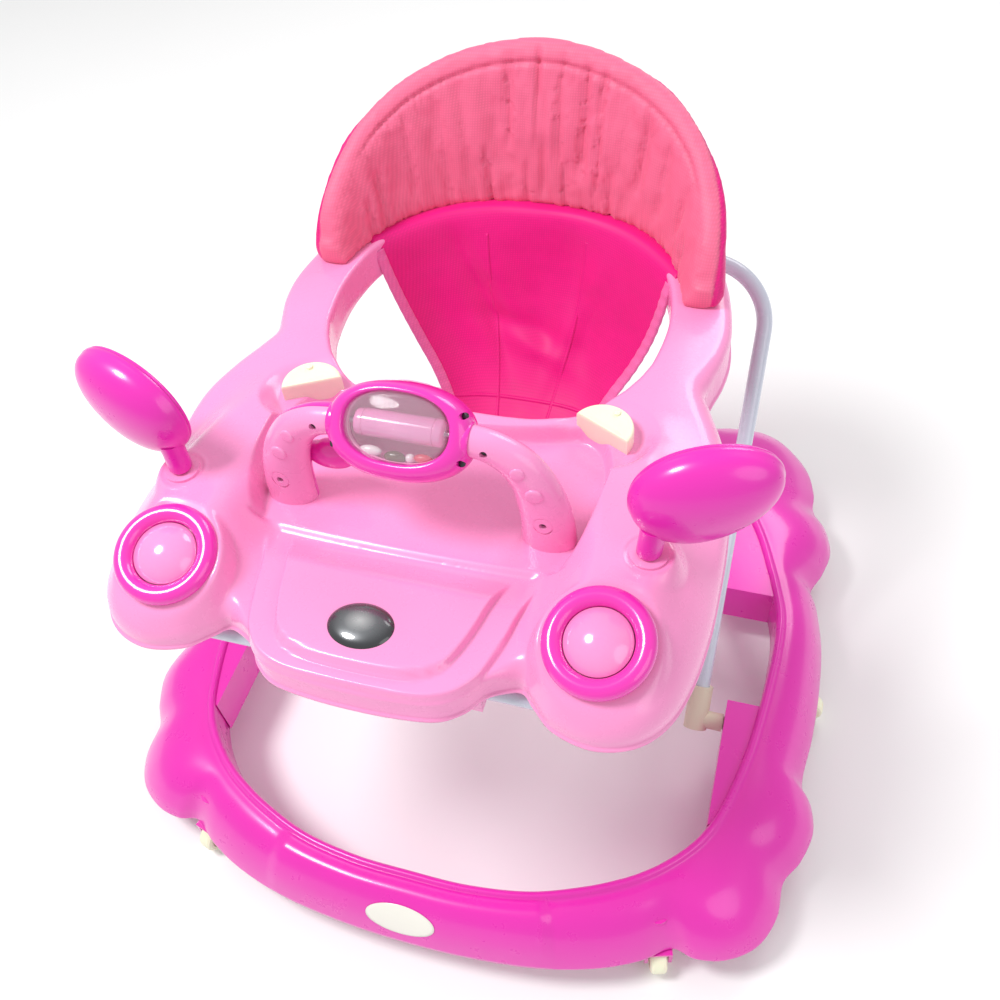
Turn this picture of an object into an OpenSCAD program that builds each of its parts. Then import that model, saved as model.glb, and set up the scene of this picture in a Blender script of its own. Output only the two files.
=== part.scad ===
/* [Tray] */
// height of the seat ring's flat top above the floor
ring_top = 418; // [380:1:440]
// height of the tray's lower lip above the floor
lip_z = 378; // [340:1:400]
// height of the sunk play floor above the floor
recess_z = 404; // [390:1:412]
// wall of the moulded shells
wall = 3; // [2:0.5:4]
// height the fenders rise above the deck
fender_h = 33; // [10:1:40]

/* [Base] */
// height of the base's rounded ridge above the floor
base_top = 95; // [80:1:110]
// height of the base's lower lip above the floor
base_lip = 40; // [34:1:48]
// radius of a caster wheel
wheel_r = 17; // [14:1:22]
// width of a caster wheel
wheel_w = 15; // [10:1:20]
// distance a wheel trails its swivel
trail = 18; // [12:1:24]

/* [Frame tubes] */
// outside diameter of the frame tube
tube_d = 15; // [12:0.5:19]
// wall of the frame tube
tube_wall = 1.2; // [0.8:0.1:2]
// half spacing of the rear tube's legs
rear_half = 217; // [200:1:225]
// half spacing of the front tube's legs
front_half = 190; // [170:1:200]
// radius of the tube's bends
bend_r = 60; // [40:1:80]
// distance of the foot pivots in front of and behind the middle
foot_y = 80; // [60:1:110]
// height of the foot pivots
foot_z = 72; // [60:1:80]
// distance of the top bars in front of and behind the middle
bar_y = 243; // [220:1:260]
// height of the top bars
bar_z = 362; // [320:1:366]

/* [Backrest and seat] */
// height of the backrest pad above the ring at its middle
pad_h = 142; // [100:1:170]
// thickness of the backrest pad
pad_t = 26; // [18:1:36]
// depth of the seat sling below the ring
seat_depth = 186; // [150:1:200]

/* [Lamps, mirrors and steering toy] */
// radius of the middle line of a lamp's rim
lamp_r = 30; // [24:1:36]
// radius of a lamp's dome
dome_r = 22.5; // [18:0.5:28]
// forward lean of the lamps
lamp_tilt = 18; // [0:1:30]
// half length of a mirror head
mirror_a = 49; // [40:1:60]
// half width of a mirror head
mirror_b = 37; // [22:1:38]
// half width of the steering pod
pod_a = 53; // [44:1:60]
// lean of the steering pod's face
pod_tilt = 46; // [20:1:60]

/* [Hidden] */
$fn = 48;
magenta = [0.80, 0.19, 0.66];
pink = [0.95, 0.62, 0.82];
cream = [0.93, 0.92, 0.80];
leg = sqrt(pow(bar_y + foot_y, 2) + pow(bar_z - foot_z, 2));
lean = atan2(bar_z - foot_z, bar_y + foot_y);
fork_top = 38.5;
caster_at = [[-214, -270], [214, -270], [-304, -12], [304, -12], [-214, 270], [214, 270]];
caster_turn = [-107, -73, 180, 0, 107, 73];
// half outline of the base: outer lip x, y, then inner edge x, y, from front to rear
base_half = [[0, -342, 0, -295], [60, -340, 52, -294], [120, -333, 105, -286],
  [170, -320, 150, -270], [206, -304, 182, -254], [231, -287, 200, -242], [252, -290, 212, -232],
  [278, -284, 223, -221], [302, -266, 233, -209], [315, -238, 240, -198], [317, -207, 247, -184],
  [330, -184, 253, -166], [338, -156, 259, -144], [334, -130, 264, -122], [324, -110, 268, -100],
  [329, -60, 274, -52], [331, -10, 278, 0], [329, 42, 277, 42], [320, 90, 267, 80],
  [312, 111, 261, 98], [322, 138, 254, 118], [328, 168, 246, 138], [320, 200, 236, 158],
  [305, 223, 225, 176], [303, 250, 213, 192], [292, 284, 199, 208], [268, 314, 183, 222],
  [238, 331, 168, 233], [208, 331, 152, 243], [184, 324, 136, 251], [130, 334, 104, 267],
  [65, 340, 52, 280], [0, 342, 0, 284]];
// half outline of the tray: outer lip x, y, then seat opening x, y, from front to rear
tray_half = [[0, -286, 0, -43], [30, -285, 14, -43], [58, -281, 27, -43], [74, -271, 38, -42.8],
  [84, -258, 46, -42.3], [95, -251, 53, -41.8], [107, -248, 60, -41], [117, -257, 66, -39.8],
  [133, -270, 73, -38], [160, -276, 81, -35.5], [186, -268, 89, -31.5], [204, -248, 96, -27],
  [214, -218, 103, -21.5], [219, -180, 110, -15], [220, -140, 117, -7], [219, -100, 123, 1],
  [214, -62, 128, 10], [203, -25, 132, 18], [191, 2, 135, 26], [184, 18, 138, 35],
  [187, 36, 140, 46], [192, 58, 142, 62], [194, 85, 143, 82], [190, 116, 141, 106],
  [182, 148, 135, 133], [168, 182, 123, 158], [147, 212, 106, 179], [118, 238, 84, 196],
  [84, 257, 58, 208], [44, 269, 29, 214], [0, 273, 0, 216]];
// half outline of the play recess
recess_half = [[0, -57], [40, -55], [75, -48], [100, -42], [116, -48], [126, -62], [131, -85],
  [129, -120], [124, -148], [117, -165], [105, -174], [0, -177]];
// half outlines of the stepped hood panels
hood_half = [[0, -283], [42, -282], [64, -276], [77, -265], [85, -250], [94, -212], [99, -179], [0, -179]];
hood_inner_half = [[0, -272], [36, -270], [55, -262], [65, -246], [74, -212], [79, -184], [0, -184]];
// backrest: x, y of its middle line, half way round
back_half = [[0, 241], [44, 237], [82, 226], [114, 208], [138, 184], [154, 156], [164, 126], [167, 110]];
// seat sling: y, share of the depth, half width, how far the edges come forward
seat_line = [[226, -0.012, 146, 76], [213, -0.012, 140, 73], [206, 0.05, 135, 70], [198, 0.22, 129, 61],
  [188, 0.40, 120, 51], [172, 0.57, 107, 39], [151, 0.72, 91, 27], [121, 0.86, 75, 14], [84, 0.96, 61, 5],
  [44, 1, 53, 0], [12, 0.89, 52, 0], [-10, 0.66, 56, 0], [-25, 0.4, 66, 0], [-34, 0.17, 76, 0]];

function cr(a, b, c, d, t) = 0.5 * ((2 * b) + (c - a) * t + (2 * a - 5 * b + 4 * c - d) * t * t
  + (3 * b - a - 3 * c + d) * t * t * t);
function ring_smooth(p, n) = [for (i = [0:len(p) - 1]) for (j = [0:n - 1])
  cr(p[(i + len(p) - 1) % len(p)], p[i], p[(i + 1) % len(p)], p[(i + 2) % len(p)], j / n)];
function line_smooth(p, n) = concat([for (i = [0:len(p) - 2]) for (j = [0:n - 1])
  cr(p[max(i - 1, 0)], p[i], p[i + 1], p[min(i + 2, len(p) - 1)], j / n)], [p[len(p) - 1]]);
function both(p) = concat(p, [for (i = [len(p) - 2:-1:1]) [for (k = [0:len(p[i]) - 1])
  (k % 2 == 0) ? -p[i][k] : p[i][k]]]);
function mirrored(p) = concat([for (i = [len(p) - 1:-1:1]) [-p[i][0], p[i][1]]], p);
function ss(a, b, x) = let (t = min(1, max(0, (x - a) / (b - a)))) t * t * (3 - 2 * t);
function unit(v) = v / norm(v);
function round_drop(d, r) = d >= r ? 0 : r - sqrt(max(0, r * r - pow(r - d, 2)));
function fender_x(y) = 157 - 27 * ss(-170, -30, y);
function fender(x, y) = fender_h * ss(-292, -180, y) * (1 - 0.95 * ss(-150, -15, y))
  * (1 - ss(16, 64, abs(abs(x) - fender_x(y))));
function deck(x, y) = 401 + (ring_top - 401) * ss(-150, -48, y) + fender(x, y);

module skin(rings, cyclic = true) {
  m = len(rings);
  n = len(rings[0]);
  last = cyclic ? m - 1 : m - 2;
  sides = [for (i = [0:last]) for (j = [0:n - 1]) for (k = [0, 1])
    let (a = i * n + j, b = i * n + (j + 1) % n, c = ((i + 1) % m) * n + (j + 1) % n,
      d = ((i + 1) % m) * n + j) k == 0 ? [a, c, b] : [a, d, c]];
  caps = cyclic ? [] : [[for (j = [0:n - 1]) j], [for (j = [n - 1:-1:0]) (m - 1) * n + j]];
  polyhedron(points = [for (r = rings) each r], faces = concat(sides, caps), convexity = 8);
}

// ---- base ----
base_profile = [[0, 0, 0], [0, 0, -12], [0.04, 0, -4], [0.13, 0, 0], [0.3, 0, -2], [0.5, 0, -10],
  [0.7, 0, -21], [0.86, 0, -34], [0.96, 0, -45], [1, 0, -52], [1, 0, 1], [1, -3, 1], [1, -3, -50],
  [0.9, -2, -43], [0.7, -2, -25], [0.5, -1, -14], [0.3, -1, -5.5], [0.15, 0, -3.5], [0.07, 2, -7],
  [0, 3, -13], [0, 3, 0]];

module base_ring() {
  pts = ring_smooth(both(base_half), 2);
  color(magenta) difference() {
    skin([for (q = base_profile) [for (p = pts)
      let (o = [p[0], p[1]], i = [p[2], p[3]], w = unit(o - i), c = i + (o - i) * q[0] + w * q[1])
      [c[0], c[1], (q[2] >= 0 && q[2] <= 1 && (q[0] == 1 || q[0] == 0)) ? base_lip + q[2]
        : base_top + q[2]]]]);
    for (s = [-1, 1]) translate([s * 134, -331, 66]) rotate([31, 0, s * 3])
      cube([1.6, 3, 70], center = true);
  }
}

module caster_sockets() {
  color(magenta) for (c = caster_at) translate([c[0], c[1], base_lip + 1])
    difference() {
      cylinder(h = 34, r = 10);
      translate([0, 0, -1]) cylinder(h = 28, r = 4.08);
    }
}

module pivot_block(x0, y0, y1, pts) {
  difference() {
    translate([0, 0, base_lip]) linear_extrude(height = 50) polygon(pts);
    translate([x0 - 1, y0, foot_z]) rotate([0, 90, 0]) cylinder(h = 19, r = 6.08);
    translate([x0 + 2.5, y0, foot_z]) rotate([0, 90, 0]) cylinder(h = 16, r = 6.08);
  }
}

module pivot_blocks_front() {
  color(magenta) for (s = [0, 1]) mirror([s, 0, 0])
    pivot_block(243, -foot_y, 0, [[243, -64], [276, -64], [271, -98], [262, -138], [250, -186],
      [243, -190]]);
}

module pivot_blocks_rear() {
  color(magenta) for (s = [0, 1]) mirror([s, 0, 0])
    pivot_block(216, foot_y, 0, [[216, 64], [272, 64], [258, 110], [246, 140], [222, 182], [216, 184]]);
}

module label_sticker() {
  color([0.96, 0.96, 0.93]) translate([0, -325.4, 67.3]) rotate([59, 0, 0])
    linear_extrude(height = 0.5) scale([1, 0.52]) circle(r = 32, $fn = 64);
}

// ---- casters ----
module at_caster(k) {
  translate([caster_at[k][0], caster_at[k][1], 0]) rotate([0, 0, caster_turn[k]]) children();
}

module caster_fork(k) {
  color(magenta) at_caster(k) {
    difference() {
      union() {
        translate([0, 0, fork_top - 4]) cylinder(h = 4, r = 12);
        translate([0, -12, fork_top - 3.5]) cube([trail + 8, 24, 3.5]);
        for (s = [-1, 1]) translate([0, s * 10.5 - 1.5, 0]) {
          translate([trail, 3, wheel_r]) rotate([90, 0, 0]) cylinder(h = 3, r = 8);
          translate([trail - 8, 0, wheel_r]) cube([16, 3, fork_top - wheel_r - 1]);
        }
        translate([0, 0, fork_top - 1]) cylinder(h = 26, r = 4);
      }
      translate([trail, 20, wheel_r]) rotate([90, 0, 0]) cylinder(h = 40, r = 2.3);
    }
  }
}

module caster_wheel(k) {
  color(cream) at_caster(k) translate([trail, 0, wheel_r]) rotate([90, 0, 0]) difference() {
    translate([0, 0, -wheel_w / 2]) rotate_extrude($fn = 64)
      polygon([[2.56, 0], [wheel_r - 3, 0], [wheel_r - 1, 1], [wheel_r, 3.5], [wheel_r, wheel_w - 3.5],
        [wheel_r - 1, wheel_w - 1], [wheel_r - 3, wheel_w], [2.56, wheel_w]]);
    for (s = [-1, 1]) translate([0, 0, s * wheel_w / 2]) rotate_extrude($fn = 64)
      translate([8.5, 0]) square([6, 5], center = true);
  }
}

module caster_axle(k) {
  color([0.75, 0.76, 0.78]) at_caster(k) translate([trail, 0, wheel_r]) rotate([90, 0, 0]) {
    translate([0, 0, -9]) cylinder(h = 18, r = 2.5);
    translate([0, 0, -13.4]) cylinder(h = 26.8, r = 2.2);
    for (s = [0, 1]) mirror([0, 0, s]) translate([0, 0, 12.3]) cylinder(h = 1.2, r = 4);
  }
}

// ---- frame tubes ----
module elbow(r) {
  rotate_extrude(angle = 90, $fn = 64) translate([bend_r, 0]) circle(r = r, $fn = 32);
}

module u_shape(half, r) {
  top = half - bend_r;
  for (s = [0, 1]) mirror([s, 0, 0]) {
    translate([half, 6, 0]) rotate([-90, 0, 0]) cylinder(h = leg - bend_r - 6, r = r, $fn = 32);
    translate([top, leg - bend_r, 0]) elbow(r);
  }
  translate([-top, leg, 0]) rotate([0, 90, 0]) cylinder(h = 2 * top, r = r, $fn = 32);
}

module u_tube(half) {
  difference() {
    u_shape(half, tube_d / 2);
    u_shape(half, tube_d / 2 - tube_wall);
    for (s = [-1, 1]) translate([s * half, 7, 0]) rotate([-90, 0, 0])
      translate([0, 0, -3]) cylinder(h = 6, r = tube_d / 2 - tube_wall, $fn = 32);
  }
}

module rear_frame() {
  translate([0, -foot_y, foot_z]) rotate([lean, 0, 0]) children();
}

module front_frame() {
  mirror([0, 1, 0]) rear_frame() children();
}

module rear_tube() {
  color([0.82, 0.85, 0.90]) rear_frame() u_tube(rear_half);
}

module front_tube() {
  color([0.82, 0.85, 0.90]) front_frame() u_tube(front_half);
}

module feet(half, reach) {
  for (s = [0, 1]) mirror([s, 0, 0]) difference() {
    union() {
      translate([half, -10, 0]) rotate([-90, 0, 0]) cylinder(h = 42, r = 11);
      translate([half, 0, 0]) rotate([0, 90, 0]) cylinder(h = reach - half, r = 8.5);
      translate([half, 0, 0]) rotate([0, 90, 0]) cylinder(h = reach - half + 16, r = 6);
    }
    translate([half, 5.5, 0]) rotate([-90, 0, 0]) cylinder(h = 40, r = tube_d / 2 + 0.08);
  }
}

module rear_tube_feet() {
  color(cream) rear_frame() feet(rear_half, 242);
}

module front_tube_feet() {
  color(cream) front_frame() feet(front_half, 215);
}

// ---- tray ----
function tray_ring(d, z, from_in) = [for (p = ring_smooth(both(tray_half), 2))
  let (o = [p[0], p[1]], i = [p[2], p[3]], w = unit(i - o), c = from_in ? i - w * d : o + w * d)
  [c[0], c[1], z]];
function tray_edge(d, r, under) = [for (p = ring_smooth(both(tray_half), 2))
  let (o = [p[0], p[1]], i = [p[2], p[3]], w = unit(i - o), c = o + w * (d + under))
  [c[0], c[1], deck(c[0], c[1]) - round_drop(d, r) - under]];
function tray_mid(u, under) = [for (p = ring_smooth(both(tray_half), 2))
  let (o = [p[0], p[1]], i = [p[2], p[3]], w = unit(i - o), a = o + w * 20, b = i - w * 7,
    c = a + (b - a) * u)
  [c[0], c[1], deck(c[0], c[1]) - under]];

module tray_skin() {
  skin(concat(
    [tray_ring(0, lip_z, false), tray_ring(-1.5, lip_z, false), tray_ring(-1.5, lip_z + 2.5, false),
     tray_ring(0, lip_z + 3, false)],
    [for (d = [0.6, 2.4, 5.5, 10]) tray_edge(d, 20, 0)],
    [for (u = [0, 0.07, 0.15, 0.23, 0.31, 0.4, 0.5, 0.6, 0.7, 0.8, 0.9, 1]) tray_mid(u, 0)],
    [tray_ring(2.5, ring_top - 1, true), tray_ring(0.5, ring_top - 4.5, true),
     tray_ring(0, ring_top - 32, true), tray_ring(3, ring_top - 32, true),
     tray_ring(3.5, ring_top - 7, true)],
    [for (u = [0.99, 0.82, 0.64, 0.48, 0.32, 0.18, 0.06]) tray_mid(u, wall)],
    [for (d = [6, 1]) tray_edge(d, 20, wall)],
    [tray_ring(3, lip_z, false)]));
}

module recess_plate(grow, z0, z1) {
  translate([0, 0, z0]) linear_extrude(height = z1 - z0)
    polygon([for (p = mirrored(recess_half)) let (c = [0, -115], q = p - c) c + q * (1 + grow / 95)]);
}

module tray_shell() {
  color(pink) difference() {
    union() {
      tray_skin();
      recess_plate(3, recess_z - 3, recess_z + 3);
      translate([0, 0, 396]) linear_extrude(height = 9) polygon(mirrored(hood_half));
      translate([0, 0, 404]) linear_extrude(height = 6) polygon(mirrored(hood_inner_half));
      for (s = [-1, 1]) at_knob(s) translate([0, 0, 405]) half_disc(27, 11);
    }
    recess_plate(0, recess_z, 450);
    for (s = [-1, 1]) at_knob(s) translate([0, -0.5, 408.4]) half_disc(24.6, 30);
  }
}

module front_hinge_clips() {
  color(pink) for (s = [-1, 1]) translate([s * 70, -bar_y, bar_z]) difference() {
    translate([-9, -12, -12]) cube([18, 24, 46]);
    rotate([0, 90, 0]) cylinder(h = 40, r = tube_d / 2 + 0.08, center = true);
  }
}

module rear_rack() {
  color(pink) for (s = [-1, 1]) translate([s * 60, 0, 0]) difference() {
    union() {
      translate([-6, 215, lip_z]) cube([12, 43, ring_top - lip_z - 1.5]);
      translate([-6, 222, bar_z - 15]) cube([12, 44, 32]);
    }
    translate([0, bar_y, bar_z]) rotate([0, 90, 0])
      cylinder(h = 40, r = tube_d / 2 + 0.6, center = true);
    translate([-20, bar_y, bar_z - tube_d / 2 - 0.6]) cube([40, 40, tube_d + 1.2]);
  }
}

module hood_badge() {
  color([0.16, 0.16, 0.17]) translate([0, -243, 410.3]) scale([23, 17.5, 6]) difference() {
    sphere(r = 1, $fn = 48);
    translate([0, 0, -1]) cube([3, 3, 2], center = true);
  }
}

module at_lamp(s) {
  translate([s * 153.5, -227, 425]) rotate([lamp_tilt, -s * 4, 0]) children();
}

module lamp_rims() {
  color(magenta) for (s = [-1, 1]) at_lamp(s) {
    rotate_extrude($fn = 72) translate([lamp_r, 0]) circle(r = 7, $fn = 32);
    translate([0, 0, -8]) difference() {
      cylinder(h = 6, r = lamp_r + 5, $fn = 72);
      translate([0, 0, -1]) cylinder(h = 8, r = lamp_r - 5.5, $fn = 72);
    }
  }
}

module lamp_domes() {
  color(pink) for (s = [-1, 1]) at_lamp(s) translate([0, 0, -20]) intersection() {
    sphere(r = 31, $fn = 72);
    translate([0, 0, 10]) cylinder(h = 40, r = dome_r, $fn = 72);
  }
}

module at_knob(s) {
  translate([s * 116.5, -51, 0]) rotate([0, 0, s * -27]) children();
}

module half_disc(r, h) {
  intersection() {
    cylinder(h = h, r = r);
    translate([-40, 0, -1]) cube([80, 40, h + 2]);
  }
}

module latch_knob(s) {
  color([0.96, 0.96, 0.86]) at_knob(s) translate([0, 0, 413]) difference() {
    intersection() {
      union() {
        cylinder(h = 10, r = 24);
        translate([0, 0, 10]) cylinder(h = 2, r1 = 24, r2 = 22);
      }
      translate([-30, 0, -1]) cube([60, 40, 20]);
    }
    translate([0, 16, 17]) sphere(r = 7);
  }
}

// ---- mirrors ----
module at_mirror(s) {
  mirror([s < 0 ? 1 : 0, 0, 0]) translate([201, -139, 484.7])
    multmatrix([[0.8965, -0.3340, 0.2913, 0], [0.2812, -0.0793, -0.9564, 0], [0.3425, 0.9392, 0.0228, 0],
      [0, 0, 0, 1]]) children();
}

module egg(k, z) {
  n = 28;
  linear_extrude(height = z) polygon([for (i = [0:n - 1]) let (a = i * 360 / n)
    [k * mirror_a * cos(a), k * mirror_b * sin(a) * (1 - 0.11 * cos(a))]]);
}

module mirror_shell(s) {
  n = 28;
  lev = [[1, 0], [1, 4], [0.97, 9], [0.9, 14], [0.78, 18.6], [0.6, 22.8], [0.36, 25.8], [0.1, 27]];
  color(magenta) {
    at_mirror(s) skin([for (q = lev) [for (i = [0:n - 1]) let (a = i * 360 / n)
      [q[0] * mirror_a * cos(a), q[0] * mirror_b * sin(a) * (1 - 0.11 * cos(a)), q[1]]]], false);
    mirror([s < 0 ? 1 : 0, 0, 0]) hull() {
      translate([172, -160, 437]) cylinder(h = 12, r = 8.6, $fn = 24);
      translate([174, -157, 460]) sphere(r = 7.8, $fn = 24);
    }
  }
}

module mirror_back(s) {
  color(magenta) at_mirror(s) translate([0, 0, -3.3]) difference() {
    egg(0.985, 3);
    translate([0, 0, -1]) egg(0.84, 2);
  }
}

module mirror_glass(s) {
  color([0.85, 0.88, 0.92]) at_mirror(s) translate([0, 0, -3.3]) egg(0.825, 0.7);
}

module mirror_collars() {
  color(pink) for (s = [-1, 1]) translate([s * 172, -160, 424]) difference() {
    cylinder(h = 12, r = 13);
    translate([0, 0, -1]) cylinder(h = 20, r = 5.2);
  }
}

// ---- steering toy ----
// steering arm from foot to pod: x, z of its middle line, half width along the arch, half depth
arm_line = [[99, 403, 20, 13], [98, 423, 19.2, 13], [95, 442.5, 18, 12.6], [89, 460.5, 16, 12],
  [79, 476, 14, 11.5], [65, 486, 12, 11], [52, 489.7, 11, 11], [45, 490.2, 11, 11]];
function arm_y(z) = -139.5 + 3.5 * (z - 403) / 87;
function arm_rings(angles, off) = let (pts = line_smooth(arm_line, 2), n = len(pts) - 1)
  [for (k = [0:n]) let (p = pts[k], q = k < n ? pts[k + 1] - p : p - pts[k - 1],
      r = k > 0 ? p - pts[k - 1] : q, d = k == 0 ? [0, 1] : unit([q[0] + r[0], q[1] + r[1]]))
    [for (a = angles) [p[0] + d[1] * p[2] * cos(a), arm_y(p[1]) + p[3] * sin(a) + off,
      p[1] - d[0] * p[2] * cos(a)]]];

module arm_mark(x, z, r, out, h) {
  translate([x, arm_y(z) - 12.4 - out, z]) rotate([-90, 0, 0]) cylinder(h = h, r = r);
}

module steering_arms() {
  color(pink) difference() {
    union() {
      skin(arm_rings([for (i = [0:23]) i * 15], 0), false);
      mirror([1, 0, 0]) skin(arm_rings([for (i = [12:24]) i * 15], -0.15), false);
      for (s = [-1, 1]) {
        arm_mark(s * 92.5, 459, 5.6, 0.6, 8);
        arm_mark(s * 82, 477, 4.8, -0.2, 8);
      }
    }
    for (s = [-1, 1]) {
      arm_mark(s * 98, 431, 2.6, 3, 9);
      arm_mark(s * 60, 491, 2.6, 3, 9);
      difference() {
        arm_mark(s * 98, 431, 7, 3, 4);
        arm_mark(s * 98, 431, 6, 4, 6);
      }
    }
  }
}

module steering_back() {
  color(magenta) {
    mirror([1, 0, 0]) skin(arm_rings([for (i = [0:12]) i * 15], 0.15), false);
    translate([-66, -127, 441]) scale([18, 8, 14]) sphere(r = 1, $fn = 32);
  }
}

module steering_screws() {
  color([0.25, 0.25, 0.27]) for (s = [-1, 1]) {
    arm_mark(s * 98, 431, 2.5, -3, 3);
    arm_mark(s * 60, 491, 2.5, -4.5, 3);
  }
}

module at_pod() {
  translate([0, -136, 488]) rotate([pod_tilt, 0, 0]) children();
}

module pod_frame() {
  color(magenta) at_pod() difference() {
    union() {
      scale([pod_a, 33, 22]) sphere(r = 1, $fn = 48);
      rotate([-pod_tilt, 0, 0]) for (s = [-1, 1]) translate([s * 46.5, -0.5, 2])
        rotate([0, 90, 0]) cylinder(h = 11, r = 12.5, center = true);
    }
    difference() {
      scale([pod_a - 4, 29, 18]) sphere(r = 1, $fn = 40);
      for (s = [-1, 1]) translate([s * 42, 3, 3]) rotate([0, 90, 0]) cylinder(h = 16, r = 4.6, center = true);
    }
    translate([0, 3, 6]) linear_extrude(height = 40) scale([36, 23]) circle(r = 1, $fn = 48);
    translate([0, 3, 3]) rotate([0, 90, 0]) cylinder(h = 90, r = 2.06, center = true);
  }
}

module pod_window() {
  color([0.95, 0.85, 0.95, 0.4]) at_pod() intersection() {
    difference() {
      scale([pod_a + 1, 33.5, 22.5]) sphere(r = 1, $fn = 48);
      scale([pod_a - 1.5, 31, 20]) sphere(r = 1, $fn = 48);
    }
    translate([0, 3, 0]) linear_extrude(height = 40) scale([35.6, 22.6]) circle(r = 1, $fn = 48);
  }
}

module pod_roller() {
  color(pink) at_pod() translate([0, 3, 3]) rotate([0, 90, 0]) difference() {
    cylinder(h = 62, r = 9.5, center = true);
    cylinder(h = 80, r = 2.06, center = true);
  }
}

module roller_pin() {
  color([0.75, 0.76, 0.78]) at_pod() translate([0, 3, 3]) rotate([0, 90, 0])
    cylinder(h = 87, r = 2, center = true);
}

module rattle_beads() {
  color([0.85, 0.75, 0.3]) at_pod() for (q = [[-18, -17, 1], [-6, -19, 2], [7, -19, 1], [18, -17, 2]])
    translate([q[0], q[1], q[2]]) sphere(r = 4, $fn = 24);
}

// ---- backrest ----
function back_t(k, n) = abs(2 * k / n - 1);
function back_rings(prof) = let (pts = line_smooth(mirrored(back_half), 3), n = len(pts) - 1)
  [for (k = [0:n]) let (p = pts[k], q = k < n ? pts[k + 1] - p : p - pts[k - 1],
      r = k > 0 ? p - pts[k - 1] : q, tn = unit(q + r), w = [-tn[1], tn[0]], t = back_t(k, n),
      h = pad_h * (0.16 + 0.84 * (1 - pow(t, 1.7))))
    [for (v = prof) let (zz = v[1] * h, c = p + w * (v[0] + 16 * v[1] * h / pad_h))
      [c[0], c[1], ring_top + v[2] + zz]]];

module backrest_frame() {
  color(pink) skin(back_rings([[-2, 0, 0.3], [2, 0, 0.3], [2, 0.92, -2], [-2, 0.92, -2]]), false);
}

module backrest_pad() {
  a = pad_t / 2;
  color([0.93, 0.42, 0.62]) skin(back_rings([[2.6, 0, 0.6], [a - 2, 0, 0.6], [a, 0.12, 0], [a, 0.55, 0],
    [a - 2, 0.85, 0], [a * 0.5, 0.97, 0], [0, 1, 0], [-a * 0.5, 0.97, 0], [2 - a, 0.85, 0],
    [-a - 3, 0.55, 0], [-a - 8, 0.24, 0], [-a - 9, 0.1, 2], [-a - 6, 0, 2.6], [-a, 0, 0.8],
    [-2.6, 0, 0.6], [-2.6, 0.92, -1], [2.6, 0.92, -1]]), false);
}

// ---- seat ----
function seat_point(p, w, u, x, drop) = [u * p[2] + x, p[0] + w[0] - p[3] * pow(abs(u), 2.6),
  ring_top - seat_depth * p[1] + w[1] - drop];
function seat_rings(across, t) = let (pts = line_smooth(seat_line, 3), n = len(pts) - 1)
  [for (k = [0:n]) let (p = pts[k], q = k < n ? pts[k + 1] - p : p - pts[k - 1],
      d = unit([q[0], -seat_depth * q[1]]), w = [-d[1], d[0]] * t / 2)
    concat([for (u = across) seat_point(p, w, u[0], u[1], u[2])],
      [for (i = [len(across) - 1:-1:0]) seat_point(p, -w, across[i][0], across[i][1], across[i][2])])];

module seat_sling() {
  color([0.94, 0.12, 0.59]) skin(seat_rings([[-1, 0, 0], [-0.8, 0, 1.5], [-0.55, 0, 3], [-0.28, 0, 4],
    [0, 0, 4], [0.28, 0, 4], [0.55, 0, 3], [0.8, 0, 1.5], [1, 0, 0]], 3), false);
}

module seat_binding() {
  color([0.96, 0.55, 0.78]) for (s = [0, 1]) mirror([s, 0, 0])
    skin(seat_rings([[1, 0.5, 0], [1, 4.5, 0]], 4), false);
}

module seat_buttons() {
  color(cream) {
    for (s = [-1, 1]) translate([s * 60, -40.5, 392]) rotate([90, 0, 0]) cylinder(h = 3, r = 7);
    for (s = [-1, 1]) translate([s * 80, 196, 392]) rotate([-90, 0, s * -28]) cylinder(h = 3, r = 7);
  }
}

base_ring();
caster_sockets();
pivot_blocks_front();
pivot_blocks_rear();
label_sticker();
caster_fork(0);  // caster_fork_1
caster_fork(1);  // caster_fork_2
caster_fork(2);  // caster_fork_3
caster_fork(3);  // caster_fork_4
caster_fork(4);  // caster_fork_5
caster_fork(5);  // caster_fork_6
caster_wheel(0);  // caster_wheel_1
caster_wheel(1);  // caster_wheel_2
caster_wheel(2);  // caster_wheel_3
caster_wheel(3);  // caster_wheel_4
caster_wheel(4);  // caster_wheel_5
caster_wheel(5);  // caster_wheel_6
caster_axle(0);  // caster_axle_1
caster_axle(1);  // caster_axle_2
caster_axle(2);  // caster_axle_3
caster_axle(3);  // caster_axle_4
caster_axle(4);  // caster_axle_5
caster_axle(5);  // caster_axle_6
rear_tube();
rear_tube_feet();
front_tube();
front_tube_feet();
tray_shell();
front_hinge_clips();
rear_rack();
hood_badge();
lamp_rims();
lamp_domes();
latch_knob(-1);  // latch_knob_left
latch_knob(1);  // latch_knob_right
mirror_shell(-1);  // mirror_shell_left
mirror_shell(1);  // mirror_shell_right
mirror_back(-1);  // mirror_back_left
mirror_back(1);  // mirror_back_right
mirror_glass(-1);  // mirror_glass_left
mirror_glass(1);  // mirror_glass_right
mirror_collars();
steering_arms();
steering_back();
steering_screws();
pod_frame();
pod_window();
pod_roller();
roller_pin();
rattle_beads();
backrest_frame();
backrest_pad();
seat_sling();
seat_binding();
seat_buttons();
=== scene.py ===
"""A folding baby walker's looks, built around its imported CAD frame."""
import math

import bmesh
import bpy
import numpy as np
from mathutils import Matrix, Vector


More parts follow.
